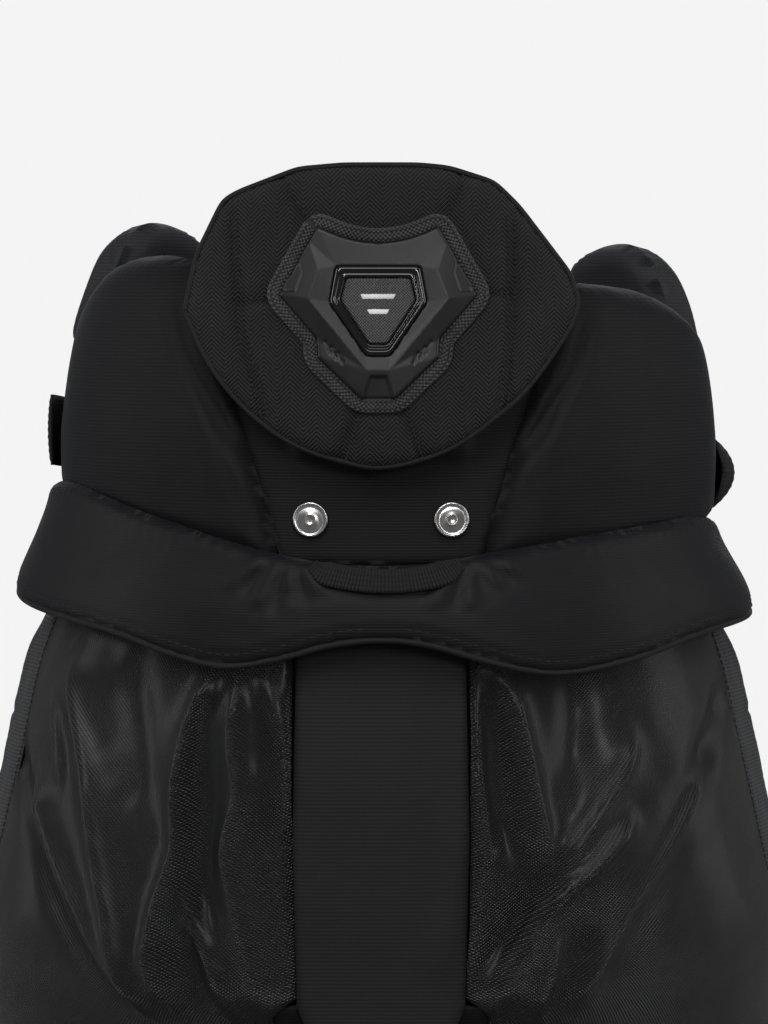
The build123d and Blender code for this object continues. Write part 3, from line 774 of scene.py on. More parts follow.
def kidney_pad(name, side):
    """A rear side pad: one full, smooth nylon cushion with pull lines towards the guard and its lower hem."""
    outline = kidney_outline(side)
    channel = [(112, 598), (106, 562), (92, 532), (77, 506), (62, 482), (56, 462)]
    pulls = [
        (channel, 3.6, -5.0 if side > 0 else -3.6),
        ([(x + 9, z + 5) for x, z in channel], 6.0, 1.6),
        ([(x - 8, z - 1) for x, z in channel], 4.0, 1.5),
        ([(104, 556), (88, 520), (81, 488), (78, 466)], 3.0, -1.8),
        ([(110, 540), (95, 505), (88, 470)], 5.0, 1.2),
        ([(124, 520), (104, 482), (98, 470)], 6.0, -0.9),
    ]
    lines = [(on_ring(PAD_LEVELS, hung(line, side)), width, height) for line, width, height in pulls]

    def front(p, depth):
        swell = -15 + 15 * dome(depth, 17) + 2.2 * smoothstep(depth / 60)
        hips = smoothstep((np.abs(p[:, 0]) - 150) / 80)
        swell = swell + (6 if side > 0 else -2) * hips * smoothstep(depth / 16)
        swell = folded(swell, p, lines)
        puckers = 0.5 * np.sin(p[:, 0] * 2 * pi / 8 + 1.5 * np.sin(p[:, 0] / 23)) * np.exp(-depth / 6)
        return swell + 0.35 * wander(p, 42, 3 + side) + puckers

    back = crown(-15, 15 - PAD_THICKNESS, 12)
    obj = panel(f"{name}_cushion", ring(PAD_LEVELS), outline, front, back, NYLON, 3.2)
    fits(obj, "root", [name])


def ring_outline(points, rounds=6, step=3.5):
    """An outline of (degrees from the rear middle, height) points in cloth coordinates."""
    flat = [(radians(angle) * RING_RADIUS, z) for angle, z in points]
    return ordered(eased(dense(flat, step), rounds))


def mirror_points(points, side):
    drop = RIGHT_DROOP if side > 0 else 0.0
    return [(side * angle, z - drop) for angle, z in points]


def hip_wing(name, side):
    """The rolled top of a hip pad, standing above the kidney pad."""
    lift, out = (6, 7) if side > 0 else (0, 3)
    corners = [(93, 557), (93, 612 + lift), (95, 625 + lift), (105, 633 + lift), (118, 633 + lift),
               (131, 626 + lift), (139, 606), (141, 557)]
    outline = ring_outline(mirror_points(corners, side), 30)

    def front(p, depth):
        return out - 14 + 15 * dome(depth, 15) + 0.4 * wander(p, 30, 11 + side)

    back = crown(out - 14, -13, 14)
    # The wing cushion takes the nylon painted lighter, as painted light from above.
    obj = panel(f"{name}_cushion", ring(PAD_LEVELS), outline, front, back, WING_NYLON_PAINTED_LIGHT, 3.0)
    fits(obj, name, [name, name.replace("wing", "plate")])


def side_name(side):
    return "left" if side < 0 else "right"


def hip_pad(name, side):
    outline = ring_outline(mirror_points([(93, 449), (93, 552), (143, 552), (144, 449)], side), 5)
    channel = ring_outline(mirror_points([(118, 440), (118, 560)], side), 0)

    def front(p, depth):
        swell = -12 + 12 * dome(depth, 12)
        return swell + groove(p, channel, 2.5, 3.0) + 0.4 * wander(p, 40, 17 + side)

    obj = panel(f"{name}_cushion", ring(PAD_LEVELS), outline, front, crown(-12, -11, 8), NYLON, 3.5)
    fits(obj, "root", [name])


def waist_pad(name, side):
    corners = [(146, 448), (146, 543), (178.6, 543), (178.6, 448)]
    outline = ring_outline([(side * angle, z) for angle, z in corners], 4)
    channels = [ring_outline([(side * 146, z), (side * 178, z)], 0) for z in (480, 512)]

    def front(p, depth):
        swell = -7 + 7 * dome(depth, 8)
        for channel in channels:
            swell = swell + groove(p, channel, 2.2, 2.2)
        return swell

    obj = panel(f"{name}_cushion", ring(PAD_LEVELS), outline, front, crown(-7, -6.5, 6), NYLON, 3.5)
    fits(obj, "root", [name])


def lumbar_panel():
    """The recessed panel with the rear buttons, drawn in by the ledges that hold the guard and the flap."""
    corners = [(54, 447), (71, 505), (85, 547), (-85, 547), (-71, 505), (-54, 447)]
    flat = on_ring(LUMBAR_LEVELS, corners)
    outline = ordered(eased(dense(flat, 3.0), 4))
    ledge = on_ring(LUMBAR_LEVELS, [(-40, 511), (40, 511)])
    pulls = [
        (on_ring(LUMBAR_LEVELS, [(-52, 500), (-20, 494), (20, 494), (52, 500)]), 5.0, 1.2),
        (on_ring(LUMBAR_LEVELS, [(-50, 486), (-30, 460)]), 4.0, 0.8),
        (on_ring(LUMBAR_LEVELS, [(50, 486), (30, 460)]), 4.0, 0.8),
    ]

    def front(p, depth):
        swell = -2 + 2.5 * dome(depth, 6) + 9 * bell(distance(p, ledge), 7, 4)
        return folded(swell, p, pulls, 12) + 0.25 * wander(p, 26, 31)

    # The recessed panel takes the cloth whose darker colours are painted shade.
    obj = panel("lumbar_panel_cloth", ring(LUMBAR_LEVELS), outline, front, crown(-2, -7, 5), LUMBAR_CLOTH_PAINTED_SHADE,
                3.0)
    fits(obj, "root", ["lumbar_panel"])


def waistband():
    """The soft girdle inside the pads, open at the fly."""
    inset = PAD_THICKNESS + 0.5
    outline = ring_outline([(-178, 448), (178, 448), (178, 534), (-178, 534)], 4, 4.0)
    rows = [ring_outline([(-178, z), (178, z)], 0, 20.0) for z in (466, 500, 520)]

    def back(p, depth):
        relief = -inset - 3 * dome(depth, 3)
        for row in rows:
            relief = relief - groove(p, row, 1.6, 1.3)
        return relief

    obj = panel("waistband_liner", ring(PAD_LEVELS), outline, lambda p, depth: -inset - 0.4, back, LINER, 4.5)
    fits(obj, "root", ["waistband"])


# ---- spine guard -----------------------------------------------------------------------------------
GUARD_TOP = [(-105, 583), (-98, 613), (-84, 641), (-76, 645.5), (-44, 657.5), (-20, 659.5), (20, 659.5),
             (36, 658), (60, 650.5), (73, 638), (101, 602), (105.5, 588)]
GUARD_BOTTOM = [(105.5, 588), (101, 574), (80, 544), (63, 528), (35, 509), (2, 500), (-22, 503.5), (-44, 511),
                (-63, 523), (-79, 538), (-93, 557), (-105, 583)]
SHIELD_HALF = [(32, 627), (52.5, 591), (32.5, 568), (32, 558), (9, 536)]
SHIELD_TOP = [(-32, 627), (-17, 621), (0, 618.5), (17, 621), (32, 627)]
BEZEL_HALF = [(22, 606), (25.5, 587), (6, 559)]
BADGE_HALF = [(17, 600), (20, 588), (5, 565)]
GUARD_THICKNESS = 17.5
GUARD_SEAMS = [
    [(-79, 634), (-75, 574), (-61, 526)],
    [(69, 634), (69, 575), (65, 531)],
    [(-53, 655), (-47, 641), (-41, 631)],
    [(42, 656), (38, 643), (34, 634)],
    [(-74, 586), (-59, 588)],
    [(69, 590), (56, 591)],
    [(-13, 527), (-21, 503)],
    [(12, 527), (21, 503)],
]
LONG_SEAMS = 2                            # the first seams, which have a row of stitches on each side
STUDS = [(-43, 541), (-36, 532), (-25, 524), (41, 541), (33, 532), (24, 524)]


def guard_outline(step):
    bottom = spline(GUARD_BOTTOM, step)
    top = dense(GUARD_TOP, step, closed=False)
    return ordered(eased(np.vstack([top[:-1], bottom[:-1]]), 4))


def shield_outline(step, grow=0.0, rounds=1):
    top = spline([(SHIELD_X + x, z) for x, z in SHIELD_TOP], step)
    right = dense([(SHIELD_X + x, z) for x, z in SHIELD_HALF], step, closed=False)
    bottom = dense([(SHIELD_X + 9, 536), (SHIELD_X - 9, 536)], step, closed=False)
    left = dense([(SHIELD_X - x, z) for x, z in reversed(SHIELD_HALF)], step, closed=False)
    points = eased(ordered(np.vstack([top[:-1], right[:-1], bottom[:-1], left[:-1]])), rounds)
    return grown(points, grow)


def grown(points, grow):
    """A closed anticlockwise outline moved outwards."""
    tangent = np.roll(points, -1, axis=0) - np.roll(points, 1, axis=0)
    tangent /= np.linalg.norm(tangent, axis=1)[:, None]
    return points + grow * np.stack([tangent[:, 1], -tangent[:, 0]], axis=1)


def both(half, step, rounds):
    right = [(SHIELD_X + x, z) for x, z in half]
    left = [(SHIELD_X - x, z) for x, z in reversed(half)]
    return ordered(eased(dense(right + left, step), rounds))


def guard_cover():
    outline = guard_outline(2.4)
    seams = [dense(seam, 3.0, closed=False) for seam in GUARD_SEAMS]
    trim = shield_outline(2.4, 7.5, 3)
    mark = dense([(-5, 521), (0, 517), (5, 521)], 2.0, closed=False)

    def front(p, depth):
        rise = -7 + 7 * dome(depth, 9) - 1.6 * smoothstep((20 - depth) / 20)
        for seam in seams:
            gap = distance(p, seam)
            rise = rise - 1.3 * bell(gap, 1.3) - 1.7 * bell(gap, 5.0)
        rise = rise - bell(distance(p, trim, True), 3.0)
        for x, z in STUDS:
            lean = np.sign(x) * 0.45
            dx, dz = p[:, 0] - x, p[:, 1] - z
            long_way, short_way = dx * lean + dz, dx - dz * lean
            rise = rise - 0.9 * bell(long_way, 3.2, 4) * bell(short_way, 1.3)
        return rise + groove(p, mark, 1.0, 0.8) + 0.2 * wander(p, 33, 5)

    back = crown(-7, 7 - GUARD_THICKNESS, 7)
    obj = panel("spine_guard_cloth", guard, outline, front, back, CORDURA, 2.1)
    fits(obj, "spine_guard", ["spine_guard_cover", "spine_guard_foam"])
    piping = sweep("spine_guard_piping", guard, outline, round_section(1.5, -7.0), PIPING)
    fits(piping, "spine_guard", [])
    for number, seam in enumerate(seams):
        across, up = np.abs(seam[0] - seam[-1])
        for offset in (-1.9, 1.9) if number < LONG_SEAMS else (1.9,):
            run = seam + ((offset, 0) if across < up else (0, offset))
            name = f"guard_stitch_{number}_{int(offset > 0)}"
            stitches(name, "spine_guard", guard, run, 3.0, 2.0, 0.32, -0.9)


def shield_trim():
    path = shield_outline(2.0, 3.6, 3)
    section = strap_section(7.6, -1.6, 1.5, 10)
    obj = sweep("shield_trim_band", guard, path, section, TRIM)
    fits(obj, "spine_guard", ["shield_trim"])
    for number, grow in enumerate((1.5, 5.4)):
        path = shield_outline(2.0, grow, 3)
        stitches(f"trim_stitch_{number}", "spine_guard", guard, path, 2.7, 1.7, 0.42, 1.5, True)


# The shield's facets: named points (distance from its middle, z, height), mirrored, and the edges
# between them. Heights stand on the guard's face.
FACET_POINTS = {
    "corner": (32, 627, 4.6), "brow": (17, 621, 4.2), "side": (52.5, 591, 3.0), "notch": (32.5, 568, 3.2),
    "waist": (32, 558, 3.2), "toe": (9, 536, 3.4), "crest_top": (36.5, 618.8, 4.2),
    "crest_in": (31.2, 604.5, 5.8), "crest_out": (37, 589, 6.0), "crest_low": (6, 551.5, 6.0),
    "rim_top": (22, 606, 4.6), "rim_side": (25.5, 587, 4.8), "rim_low": (6, 559, 4.8),
}
FACET_EDGES = [("crest_top", "crest_in"), ("crest_in", "crest_out"), ("crest_out", "crest_low"),
               ("corner", "rim_top"), ("rim_top", "rim_side"), ("rim_side", "rim_low"),
               ("crest_in", "rim_top"), ("crest_out", "rim_side"), ("crest_low", "rim_low"),
               ("crest_out", "side"), ("crest_low", "toe")]
POCKET = [(42.5, 611.5), (40.2, 602.5), (43.8, 592.5), (50.2, 592.8)]
SLOTS = [[(27.5, 566.5), (24.8, 559.8)], [(24.4, 563.5), (21.9, 557.4)], [(21.0, 560.5), (18.8, 555.2)]]
NOTCH = [(4.2, 548), (8.0, 535), (-8.0, 535), (-4.2, 548)]


def facet_height(p):
    """The shield's height at points p, read from its flat facets."""
    right = list(FACET_POINTS.values())
    coarse = np.array(right + [(-x, z, h) for x, z, h in right] + [(0, 618.5, 4.0)], float)
    number = {name: i for i, name in enumerate(FACET_POINTS)}
    edges = [(number[a], number[b]) for a, b in FACET_EDGES]
    edges += [(a + len(right), b + len(right)) for a, b in edges]
    edges += [(number[name], number[name] + len(right)) for name in ("rim_top", "rim_low", "crest_low")]
    result = geometry.delaunay_2d_cdt([Vector(c[:2]) for c in coarse], edges, [], 0, 1e-6)
    flat = np.array([tuple(v) for v in result[0]])
    source = [ids[0] if ids else None for ids in result[3]]
    heights = np.array([coarse[i, 2] if i is not None else 4.0 for i in source])
    found = np.full(len(p), 3.2)
    for t in result[2]:
        a, b, c = flat[t[0]], flat[t[1]], flat[t[2]]
        m = np.array([b - a, c - a]).T
        if abs(np.linalg.det(m)) < 1e-9:
            continue
        uv = (p - a) @ np.linalg.inv(m).T
        hit = (uv[:, 0] > -1e-6) & (uv[:, 1] > -1e-6) & (uv.sum(1) < 1 + 1e-6)
        ha, hb, hc = heights[list(t)]
        found[hit] = ha + uv[hit, 0] * (hb - ha) + uv[hit, 1] * (hc - ha)
    return found


def sunk(p, outline, width):
    """1 inside an outline, falling to 0 across its edge."""
    outline = np.asarray(outline, float)
    gap = distance(p, outline, True) * np.where(inside(p, outline), 1, -1)
    return smoothstep((gap + width / 2) / width)


def shield():
    outline = shield_outline(1.1, 0.0, 1)
    hole = both(BEZEL_HALF, 1.1, 2)
    features = []
    for a, b in FACET_EDGES:
        for side in (1, -1):
            ends = np.array([(SHIELD_X + side * FACET_POINTS[n][0], FACET_POINTS[n][1]) for n in (a, b)])
            features.append(ends + (ends[::-1] - ends) * 0.04)

    def front(p, depth):
        local = p - (SHIELD_X, 0)
        height = facet_height(local)
        for side in (1, -1):
            turned = [(side * x, z) for x, z in POCKET]
            height = height - 1.5 * sunk(local, turned, 0.9)
            for slot_line in SLOTS:
                line = [(side * x, z) for x, z in slot_line]
                height = height - 1.1 * bell(distance(local, line), 0.75, 4)
        height = height - 1.8 * sunk(local, NOTCH, 0.9)
        height = height - 2.4 * sunk(p, hole, 0.8)
        return height - 1.6 * (1 - dome(depth, 1.4))

    obj = panel("spine_shield_shell", guard, outline, front, lambda p, d: 0.15, SHIELD_PLASTIC, 0.85,
                features)
    fits(obj, "spine_guard", ["spine_shield"])


def loop_rings(name, place, loops, material):
    """A closed ring lofted through loops of (outline, height), all with as many points."""
    count = len(loops[0][0])
    verts = np.vstack([place(points, np.full(count, height)) for points, height in loops])
    cloth = np.vstack([points for points, _ in loops])
    return to_object(name, verts, tube_faces(len(loops), count, True), cloth, material)


def even(points, count):
    """A closed outline as count evenly spaced points, from its highest left point on."""
    start = np.argmax(points[:, 1] - 0.3 * points[:, 0])
    points = np.roll(points, -start, axis=0)
    points = np.vstack([points, points[:1]])
    run = run_length(points)
    at = np.linspace(0, run[-1], count, endpoint=False)
    return np.stack([np.interp(at, run, points[:, k]) for k in (0, 1)], axis=1)


def bezel_and_badge():
    count = 160
    outer = even(both(BEZEL_HALF, 0.8, 6), count)
    inner = even(both(BADGE_HALF, 0.8, 5), count)

    profile = [(0, 2.6), (0, 5.4), (0.06, 6.1), (0.2, 6.5), (0.34, 6.6), (0.44, 6.2), (0.6, 5.0), (0.66, 5.0),
               (0.74, 5.3), (0.84, 5.3), (0.93, 4.9), (1, 3.0), (1, 2.6)]   # share of the way in, height
    loops = [(outer + (inner - outer) * share, height) for share, height in profile]
    obj = loop_rings("shield_bezel_ring", guard, loops, GLOSS_PLASTIC)
    fits(obj, "spine_guard", ["shield_bezel"])

    def front(p, depth):
        cells = 0.12 * np.sign(np.sin(p[:, 0] * 2 * pi / 1.6) * np.sin(p[:, 1] * 2 * pi / 1.6))
        return 2.7 + 1.9 * dome(depth, 1.5) + cells * smoothstep(depth / 2)

    outline = ordered(grown(inner, -0.15))
    badge = panel("shield_badge_plate", guard, outline, front, lambda p, d: 2.5, BADGE_GRID, 0.5)
    fits(badge, "spine_guard", ["shield_badge"])
    for number, (low, high) in enumerate(((588.5, 591.5), (580.5, 583.5))):
        half = 8.5 - number * 3.5
        bar = [(SHIELD_X - half - 1.2, high), (SHIELD_X - half, low), (SHIELD_X + half, low),
               (SHIELD_X + half + 1.2, high)]
        mark = panel(f"badge_bar_{number}", guard, ordered(eased(dense(bar, 0.6), 2)),
                     crown(4.4, 0.55, 0.6), lambda p, d: 4.2, MARK_WHITE, 0.7)
        fits(mark, "spine_guard", [])



# ---- flap and hanger loop --------------------------------------------------------------------------
FLAP_HEM = [(-200, 424), (-152, 411), (-118, 401), (-86, 394), (-58, 398), (-28, 406), (1, 409), (27, 406),
            (55, 398), (82, 391.5), (104, 390.5), (138, 396), (182, 408)]
FLAP_TOP = [(176, 469), (122, 463), (88, 458), (57, 453.5), (30, 449), (0, 447.5), (-30, 449), (-57, 453.5),
            (-88, 461), (-122, 471), (-172, 487)]


def flap_hem():
    end = radians(95) * RING_RADIUS
    return np.vstack([[(-end, 435)], on_ring(FLAP_LEVELS, FLAP_HEM), [(end, 415)]])


def flap_place(p, off):
    """The flap's surface, which flares at both hips."""
    top = np.where(p[:, 0] > 0, 468, 490)
    flare = 6 * smoothstep((np.abs(p[:, 0]) - 150) / 90) * smoothstep((top - p[:, 1]) / 62)
    return ring(FLAP_LEVELS)(p, off + flare)


def rear_flap():
    """The padded flap: gathered along its top edge, with a stitched and piped hem."""
    hem = spline(flap_hem(), 3.0)
    top = on_ring(FLAP_LEVELS, FLAP_TOP)
    corners = [[radians(92) * RING_RADIUS, 463], *top, [-radians(92) * RING_RADIUS, 484]]
    top = spline(corners, 3.0)
    outline = ordered(eased(np.vstack([hem, top]), 2))
    stitch = on_stitch_line(hem)
    gathers = []
    rng = np.random.default_rng(4)
    for side in (-1, 1):
        for k in range(8):
            start = (side * (57 - 2.2 * k + rng.uniform(-1, 1)), 452 - 0.3 * k)
            lean = radians(62 - 17 * k + rng.uniform(-5, 5)) * side
            length = rng.uniform(17, 33)
            bend = (start[0] + 0.5 * length * np.sin(lean), start[1] - 0.5 * length * np.cos(lean))
            end = (start[0] + length * np.sin(lean * 0.85), start[1] - length * np.cos(lean * 0.85))
            line = on_ring(FLAP_LEVELS, [start, bend, end])
            gathers.append((line, 2.4 + rng.uniform(0, 1), 2.2 * (-1) ** k))

    def front(p, depth):
        rise = -4 + 4.6 * dome(depth, 7) + 1.6 * smoothstep(depth / 30)
        rise = folded(rise + groove(p, stitch, 1.6, 1.1), p, gathers, 9)
        edge = np.abs(p[:, 1] - 450) < 60
        high = np.abs(p[:, 1] - stitch_height(p, stitch)) > 12
        ribs = 0.7 * np.sin(p[:, 0] * 2 * pi / 7.5 + 2 * np.sin(p[:, 0] / 31))
        return rise + ribs * np.exp(-depth / 6) * edge * high + 0.45 * wander(p, 46, 8)

    obj = panel("rear_flap_cloth", flap_place, outline, front, crown(-4, -4.5, 5), FLAP_NYLON, 3.0)
    fits(obj, "rear_flap", ["rear_flap"])
    path = eased(hem, 3, closed=False)
    piping = sweep("flap_hem_piping", flap_place, path, round_section(2.1, -3.6, 12), PIPING, closed=False)
    fits(piping, "rear_flap", ["flap_piping"])
    stitches("flap_hem_stitch", "rear_flap", flap_place, stitch, 4.2, 2.9, 0.34, -0.2)


def stitch_height(p, stitch):
    """The stitch line's height at each point's place round the ring."""
    order = np.argsort(stitch[:, 0])
    return np.interp(p[:, 0], stitch[order, 0], stitch[order, 1])


def on_stitch_line(hem):
    """A line a little above the hem."""
    tangent = np.gradient(hem, axis=0)
    tangent /= np.linalg.norm(tangent, axis=1)[:, None]
    side = np.stack([-tangent[:, 1], tangent[:, 0]], axis=1)
    side *= np.sign(side[:, 1])[:, None]
    return (hem + 6.0 * side)[3:-3]


def hanger_loop():
    """A ribbed webbing loop, slack between its two sewn ends."""
    line = [(-36, 448), (-30, 444.5), (-16, 441.5), (0, 440), (18, 441), (32, 444), (42, 449)]
    path = spline(on_ring(FLAP_LEVELS, line), 1.5)
    away = np.sin(np.linspace(0, pi, len(path)))

    def place(p, off):
        nearest = np.argmin(np.linalg.norm(p[:, None, :1] - path[None, :, :1], axis=2), axis=1)
        return ring(FLAP_LEVELS)(p, off + 1.0 + 3.0 * away[nearest])

    near_end = np.minimum(np.arange(len(path)), np.arange(len(path))[::-1]) * 1.5
    taper = 0.5 + 0.5 * smoothstep(near_end / 10)
    section = strap_section(12.5, 0.2, 2.2, 12, 0.12)
    obj = sweep("hanger_loop_webbing", place, path, section, WEBBING, closed=False, scale=taper)
    fits(obj, "hanger_loop", ["hanger_loop"])


# ---- belt ------------------------------------------------------------------------------------------
def belt(name, side):
    """Belt webbing from under the kidney pad to the buckle, bowed off the hip where it is slack."""
    drop = RIGHT_DROOP + 6 if side > 0 else 0
    line = [(88.5, 515 - drop), (97, 514 - drop), (112, 510 - drop * 0.8), (130, 503 - drop * 0.5),
            (150, 494 - drop * 0.2), (172, 486)]
    flat = [(side * radians(angle) * RING_RADIUS, z) for angle, z in line]
    path = spline(flat, 3.0)
    bow = bell(np.degrees(np.abs(path[:, 0]) / RING_RADIUS) - 95, 8)
    reach = 15.0 if side > 0 else 2.5

    def place(p, off):
        nearest = np.argmin(np.linalg.norm(p[:, None, :1] - path[None, :, :1], axis=2), axis=1)
        crown = 1 - np.clip((p[:, 1] - path[nearest, 1]) / 22, -1, 1) ** 2
        return ring(BELT_LEVELS)(p, off - 4.0 + reach * bow[nearest] * crown)

    section = strap_section(40.0, 0.0, 2.4, 20, 0.15)
    obj = sweep(name + "_webbing", place, path, section, WEBBING, closed=False)
    fits(obj, "root", [name])


# ---- seat and legs ---------------------------------------------------------------------------------
SIDE_SEAM, FRONT_SEAM = 226.0, 330.0
INNER_SEAM = 24.0
SEAT_TOP, HEM_Z = 440.0, 9.0
SIDE_BAR_Z = 358.0        # the side panel's cross seam


def cloth_panel(name, side, outline, nodes, material, folds=(), seed=1, rumple=0.8, seams=()):
    """A panel of one half's cloth, with drape folds, that bends from the seat to the leg."""
    def front(p, depth):
        rise = folded(-1.8 + 1.8 * dome(depth, 4), p, folds, gain=FOLD_GAIN)
        for seam in seams:
            rise = rise + groove(p, seam, 1.5, 1.3)
        creases = rumple * wander(p, 70, seed) + 0.4 * rumple * wander(p, 24, seed + 5)
        return rise + creases * smoothstep(depth / 12)

    def back(p, depth):
        return front(p, depth) - 2.2 * dome(depth, 3) - 0.2

    obj = panel(name, trousers(side), outline, front, back, material, 2.9 if folds else 4.0)
    fits(obj, None, nodes)
    f"{side_name(side)}_leg"
    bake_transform(obj)
    return obj


def rear_edge(z_values):
    """The rear panel's inner seam, in cloth coordinates."""
    x = np.interp(z_values, [CROTCH_Z, 300, SEAT_TOP], [46, 48, 45])
    return on_trousers(np.stack([x, z_values], axis=1))


FOLD_GAIN = 1.35
REAR_FOLDS = {
    -1: [([(175, 380), (172, 351), (173, 313)], 4, 3.5),
         ([(160, 400), (157, 339), (150, 284), (141, 237), (138, 190)], 8, 7),
         ([(80, 400), (98, 362), (107, 325), (107, 294), (117, 263), (122, 232), (119, 195)], 6, 9),
         ([(91, 385), (95, 345), (94, 310), (96, 280), (92, 240)], 7, -5),
         ([(72, 396), (77, 351), (75, 325), (82, 294), (77, 263), (67, 222), (62, 190)], 5, 7),
         ([(62, 396), (52, 362), (50, 335), (52, 300)], 4, 3.5),
         ([(200, 345), (190, 300), (176, 262), (155, 222), (137, 190)], 8, -4.5),
         ([(190, 330), (168, 270), (146, 226), (126, 190)], 7, 5.5),
         ([(118, 279), (106, 272), (100, 255), (88, 222), (80, 190)], 5, 7),
         ([(112, 262), (104, 232), (98, 195)], 7, -6),
         ([(132, 400), (130, 350), (128, 300)], 12, -4)],
    1: [([(60, 398), (69, 370), (77, 338), (84, 305), (84, 280)], 5, 8.5),
        ([(56, 392), (60, 350), (66, 310), (70, 280)], 6, -5),
        ([(52, 385), (50, 345), (55, 300), (49, 247), (46, 225)], 4, 4.5),
        ([(138, 360), (123, 325), (101, 294), (87, 274)], 6, 5.5),
        ([(140, 316), (112, 286), (88, 263), (70, 232), (60, 195)], 5, 9),
        ([(88, 284), (80, 268), (66, 240), (58, 215)], 6, -7),
        ([(178, 340), (140, 268), (112, 221), (100, 190)], 9, 7),
        ([(96, 256), (88, 215), (86, 185)], 6, 6),
        ([(186, 380), (164, 312), (134, 247), (122, 205)], 10, -5),
        ([(112, 262), (100, 225), (98, 190)], 8, -5),
        ([(100, 398), (104, 350), (98, 320)], 10, -4)],
}


def trousers_half(side):
    name = side_name(side)
    place_folds = [(on_trousers(line), width, height) for line, width, height in REAR_FOLDS[side]]
    heights = np.linspace(SEAT_TOP, CROTCH_Z, 16)
    inner = rear_edge(heights)
    down = np.array([(INNER_SEAM, z) for z in np.linspace(CROTCH_Z - 12, HEM_Z, 12)])
    inner_seam = np.vstack([inner, down])
    rear = np.vstack([inner_seam, [(SIDE_SEAM, HEM_Z), (SIDE_SEAM, SEAT_TOP)]])
    cloth_panel(f"{name}_rear_panel_knit", side, ordered(dense(rear, 4.0)), [f"{name}_rear_panel"], KNIT,
                place_folds, 21 + side)
    outer_line = [(SIDE_SEAM - 3, z) for z in (HEM_Z + 8, 120, 230, 330, SEAT_TOP)]
    for number, path in enumerate((inner + (2.6, 0), outer_line)):
        row = stitches(f"{name}_rear_stitch_{number}", None, trousers(side), path, 3.6, 2.4, 0.34, 0.1)
        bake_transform(row)
    sides = [(SIDE_SEAM - 2.5, HEM_Z), (FRONT_SEAM + 2.5, HEM_Z), (FRONT_SEAM + 2.5, SEAT_TOP),
             (SIDE_SEAM - 2.5, SEAT_TOP)]
    side_folds = [([(250, 420), (262, 300), (252, 160), (258, 40)], 14, 3)]
    cloth_panel(f"{name}_side_panel_cloth", side, ordered(dense(sides, 4.0)), [f"{name}_side_panel"],
                SIDE_NYLON, side_folds, 41 + side, 0.8,
                [[(SIDE_SEAM, SIDE_BAR_Z), (FRONT_SEAM, SIDE_BAR_Z)]])
    fly = on_trousers([(30, z) for z in heights])
    fly = np.stack([OUTER_ARC - fly[:, 0], fly[:, 1]], axis=1)
    front = np.vstack([[(FRONT_SEAM, SEAT_TOP), (FRONT_SEAM, HEM_Z),
                        (OUTER_ARC - INNER_SEAM, HEM_Z)], fly[::-1]])
    front_folds = [([(380, 420), (392, 300), (384, 180), (388, 60)], 16, 4),
                   ([(450, 420), (446, 320), (462, 220), (452, 110)], 14, -3)]
    cloth_panel(f"{name}_front_panel_cloth", side, ordered(dense(front, 4.0)),
                [f"{name}_front_panel", f"{name}_leg_shell"], NYLON, front_folds, 61 + side)
    v = np.linspace(0, 1, 14)
    crest = np.stack([OUTER_ARC + v * INNER_ARC, CROTCH_Z - 30 * np.sin(pi * v)], axis=1)
    low = [(OUTER_ARC + INNER_ARC + INNER_SEAM, CROTCH_Z - 6), (OUTER_ARC + INNER_ARC + INNER_SEAM, HEM_Z),
           (OUTER_ARC - INNER_SEAM, HEM_Z), (OUTER_ARC - INNER_SEAM, CROTCH_Z - 6)]
    thigh = np.vstack([crest, low])
    cloth_panel(f"{name}_inner_thigh", side, ordered(dense(thigh, 4.0)), [], NYLON, (),
                81 + side, 0.3)
    leg_hem(name, side)
    thigh_pads(name, side)
    zip_fastener(name, side)


def leg_hem(name, side):
    """The bound hem that the pants stand on."""
    total = OUTER_ARC + INNER_ARC
    path = np.stack([np.linspace(0, total, 150, endpoint=False), np.full(150, 6.0)], axis=1)
    section = [(-6, -4.0), (-6, 0.6), (-5, 1.1), (5, 1.1), (6, 0.6), (6, -4.0), (5, -4.7), (-5, -4.7)]
    obj = sweep(f"{name}_leg_hem_binding", trousers(side), path, section, WEBBING)
    fits(obj, f"{name}_leg", [f"{name}_leg_hem"])
    row = path + (0, 3.5)
    stitches(f"{name}_hem_stitch", f"{name}_leg", trousers(side), row, 4.0, 2.7, 0.35, 1.1)


def thigh_pads(name, side):
    """The sewn-in foam pads inside the leg and inside the front of the seat."""
    lower = [(262, 26), (500, 26), (496, 150), (470, 200), (290, 200), (262, 150)]
    upper = [(324, 240), (518, 240), (515, 330), (500, 420), (340, 420), (326, 330)]
    pads = [(f"{name}_thigh_pad", lower, f"{name}_leg", (66, 108, 150)),
            (f"{name}_upper_thigh_pad", upper, "root", (285, 330, 375))]
    for node, points, body, bars in pads:
        outline = ordered(eased(dense(points, 4.5), 6))

        def back(p, depth, bars=bars):
            rise = -10 - 5.8 * dome(depth, 7)
            for z in bars:
                rise = rise + 3.0 * bell(p[:, 1] - z, 3.0) * smoothstep(depth / 8)
            return rise

        obj = panel(f"{node}_cushion", trousers(side), outline, crown(-10, 5.4, 6), back, FOAM_COVER, 4.5)
        fits(obj, body, [node])


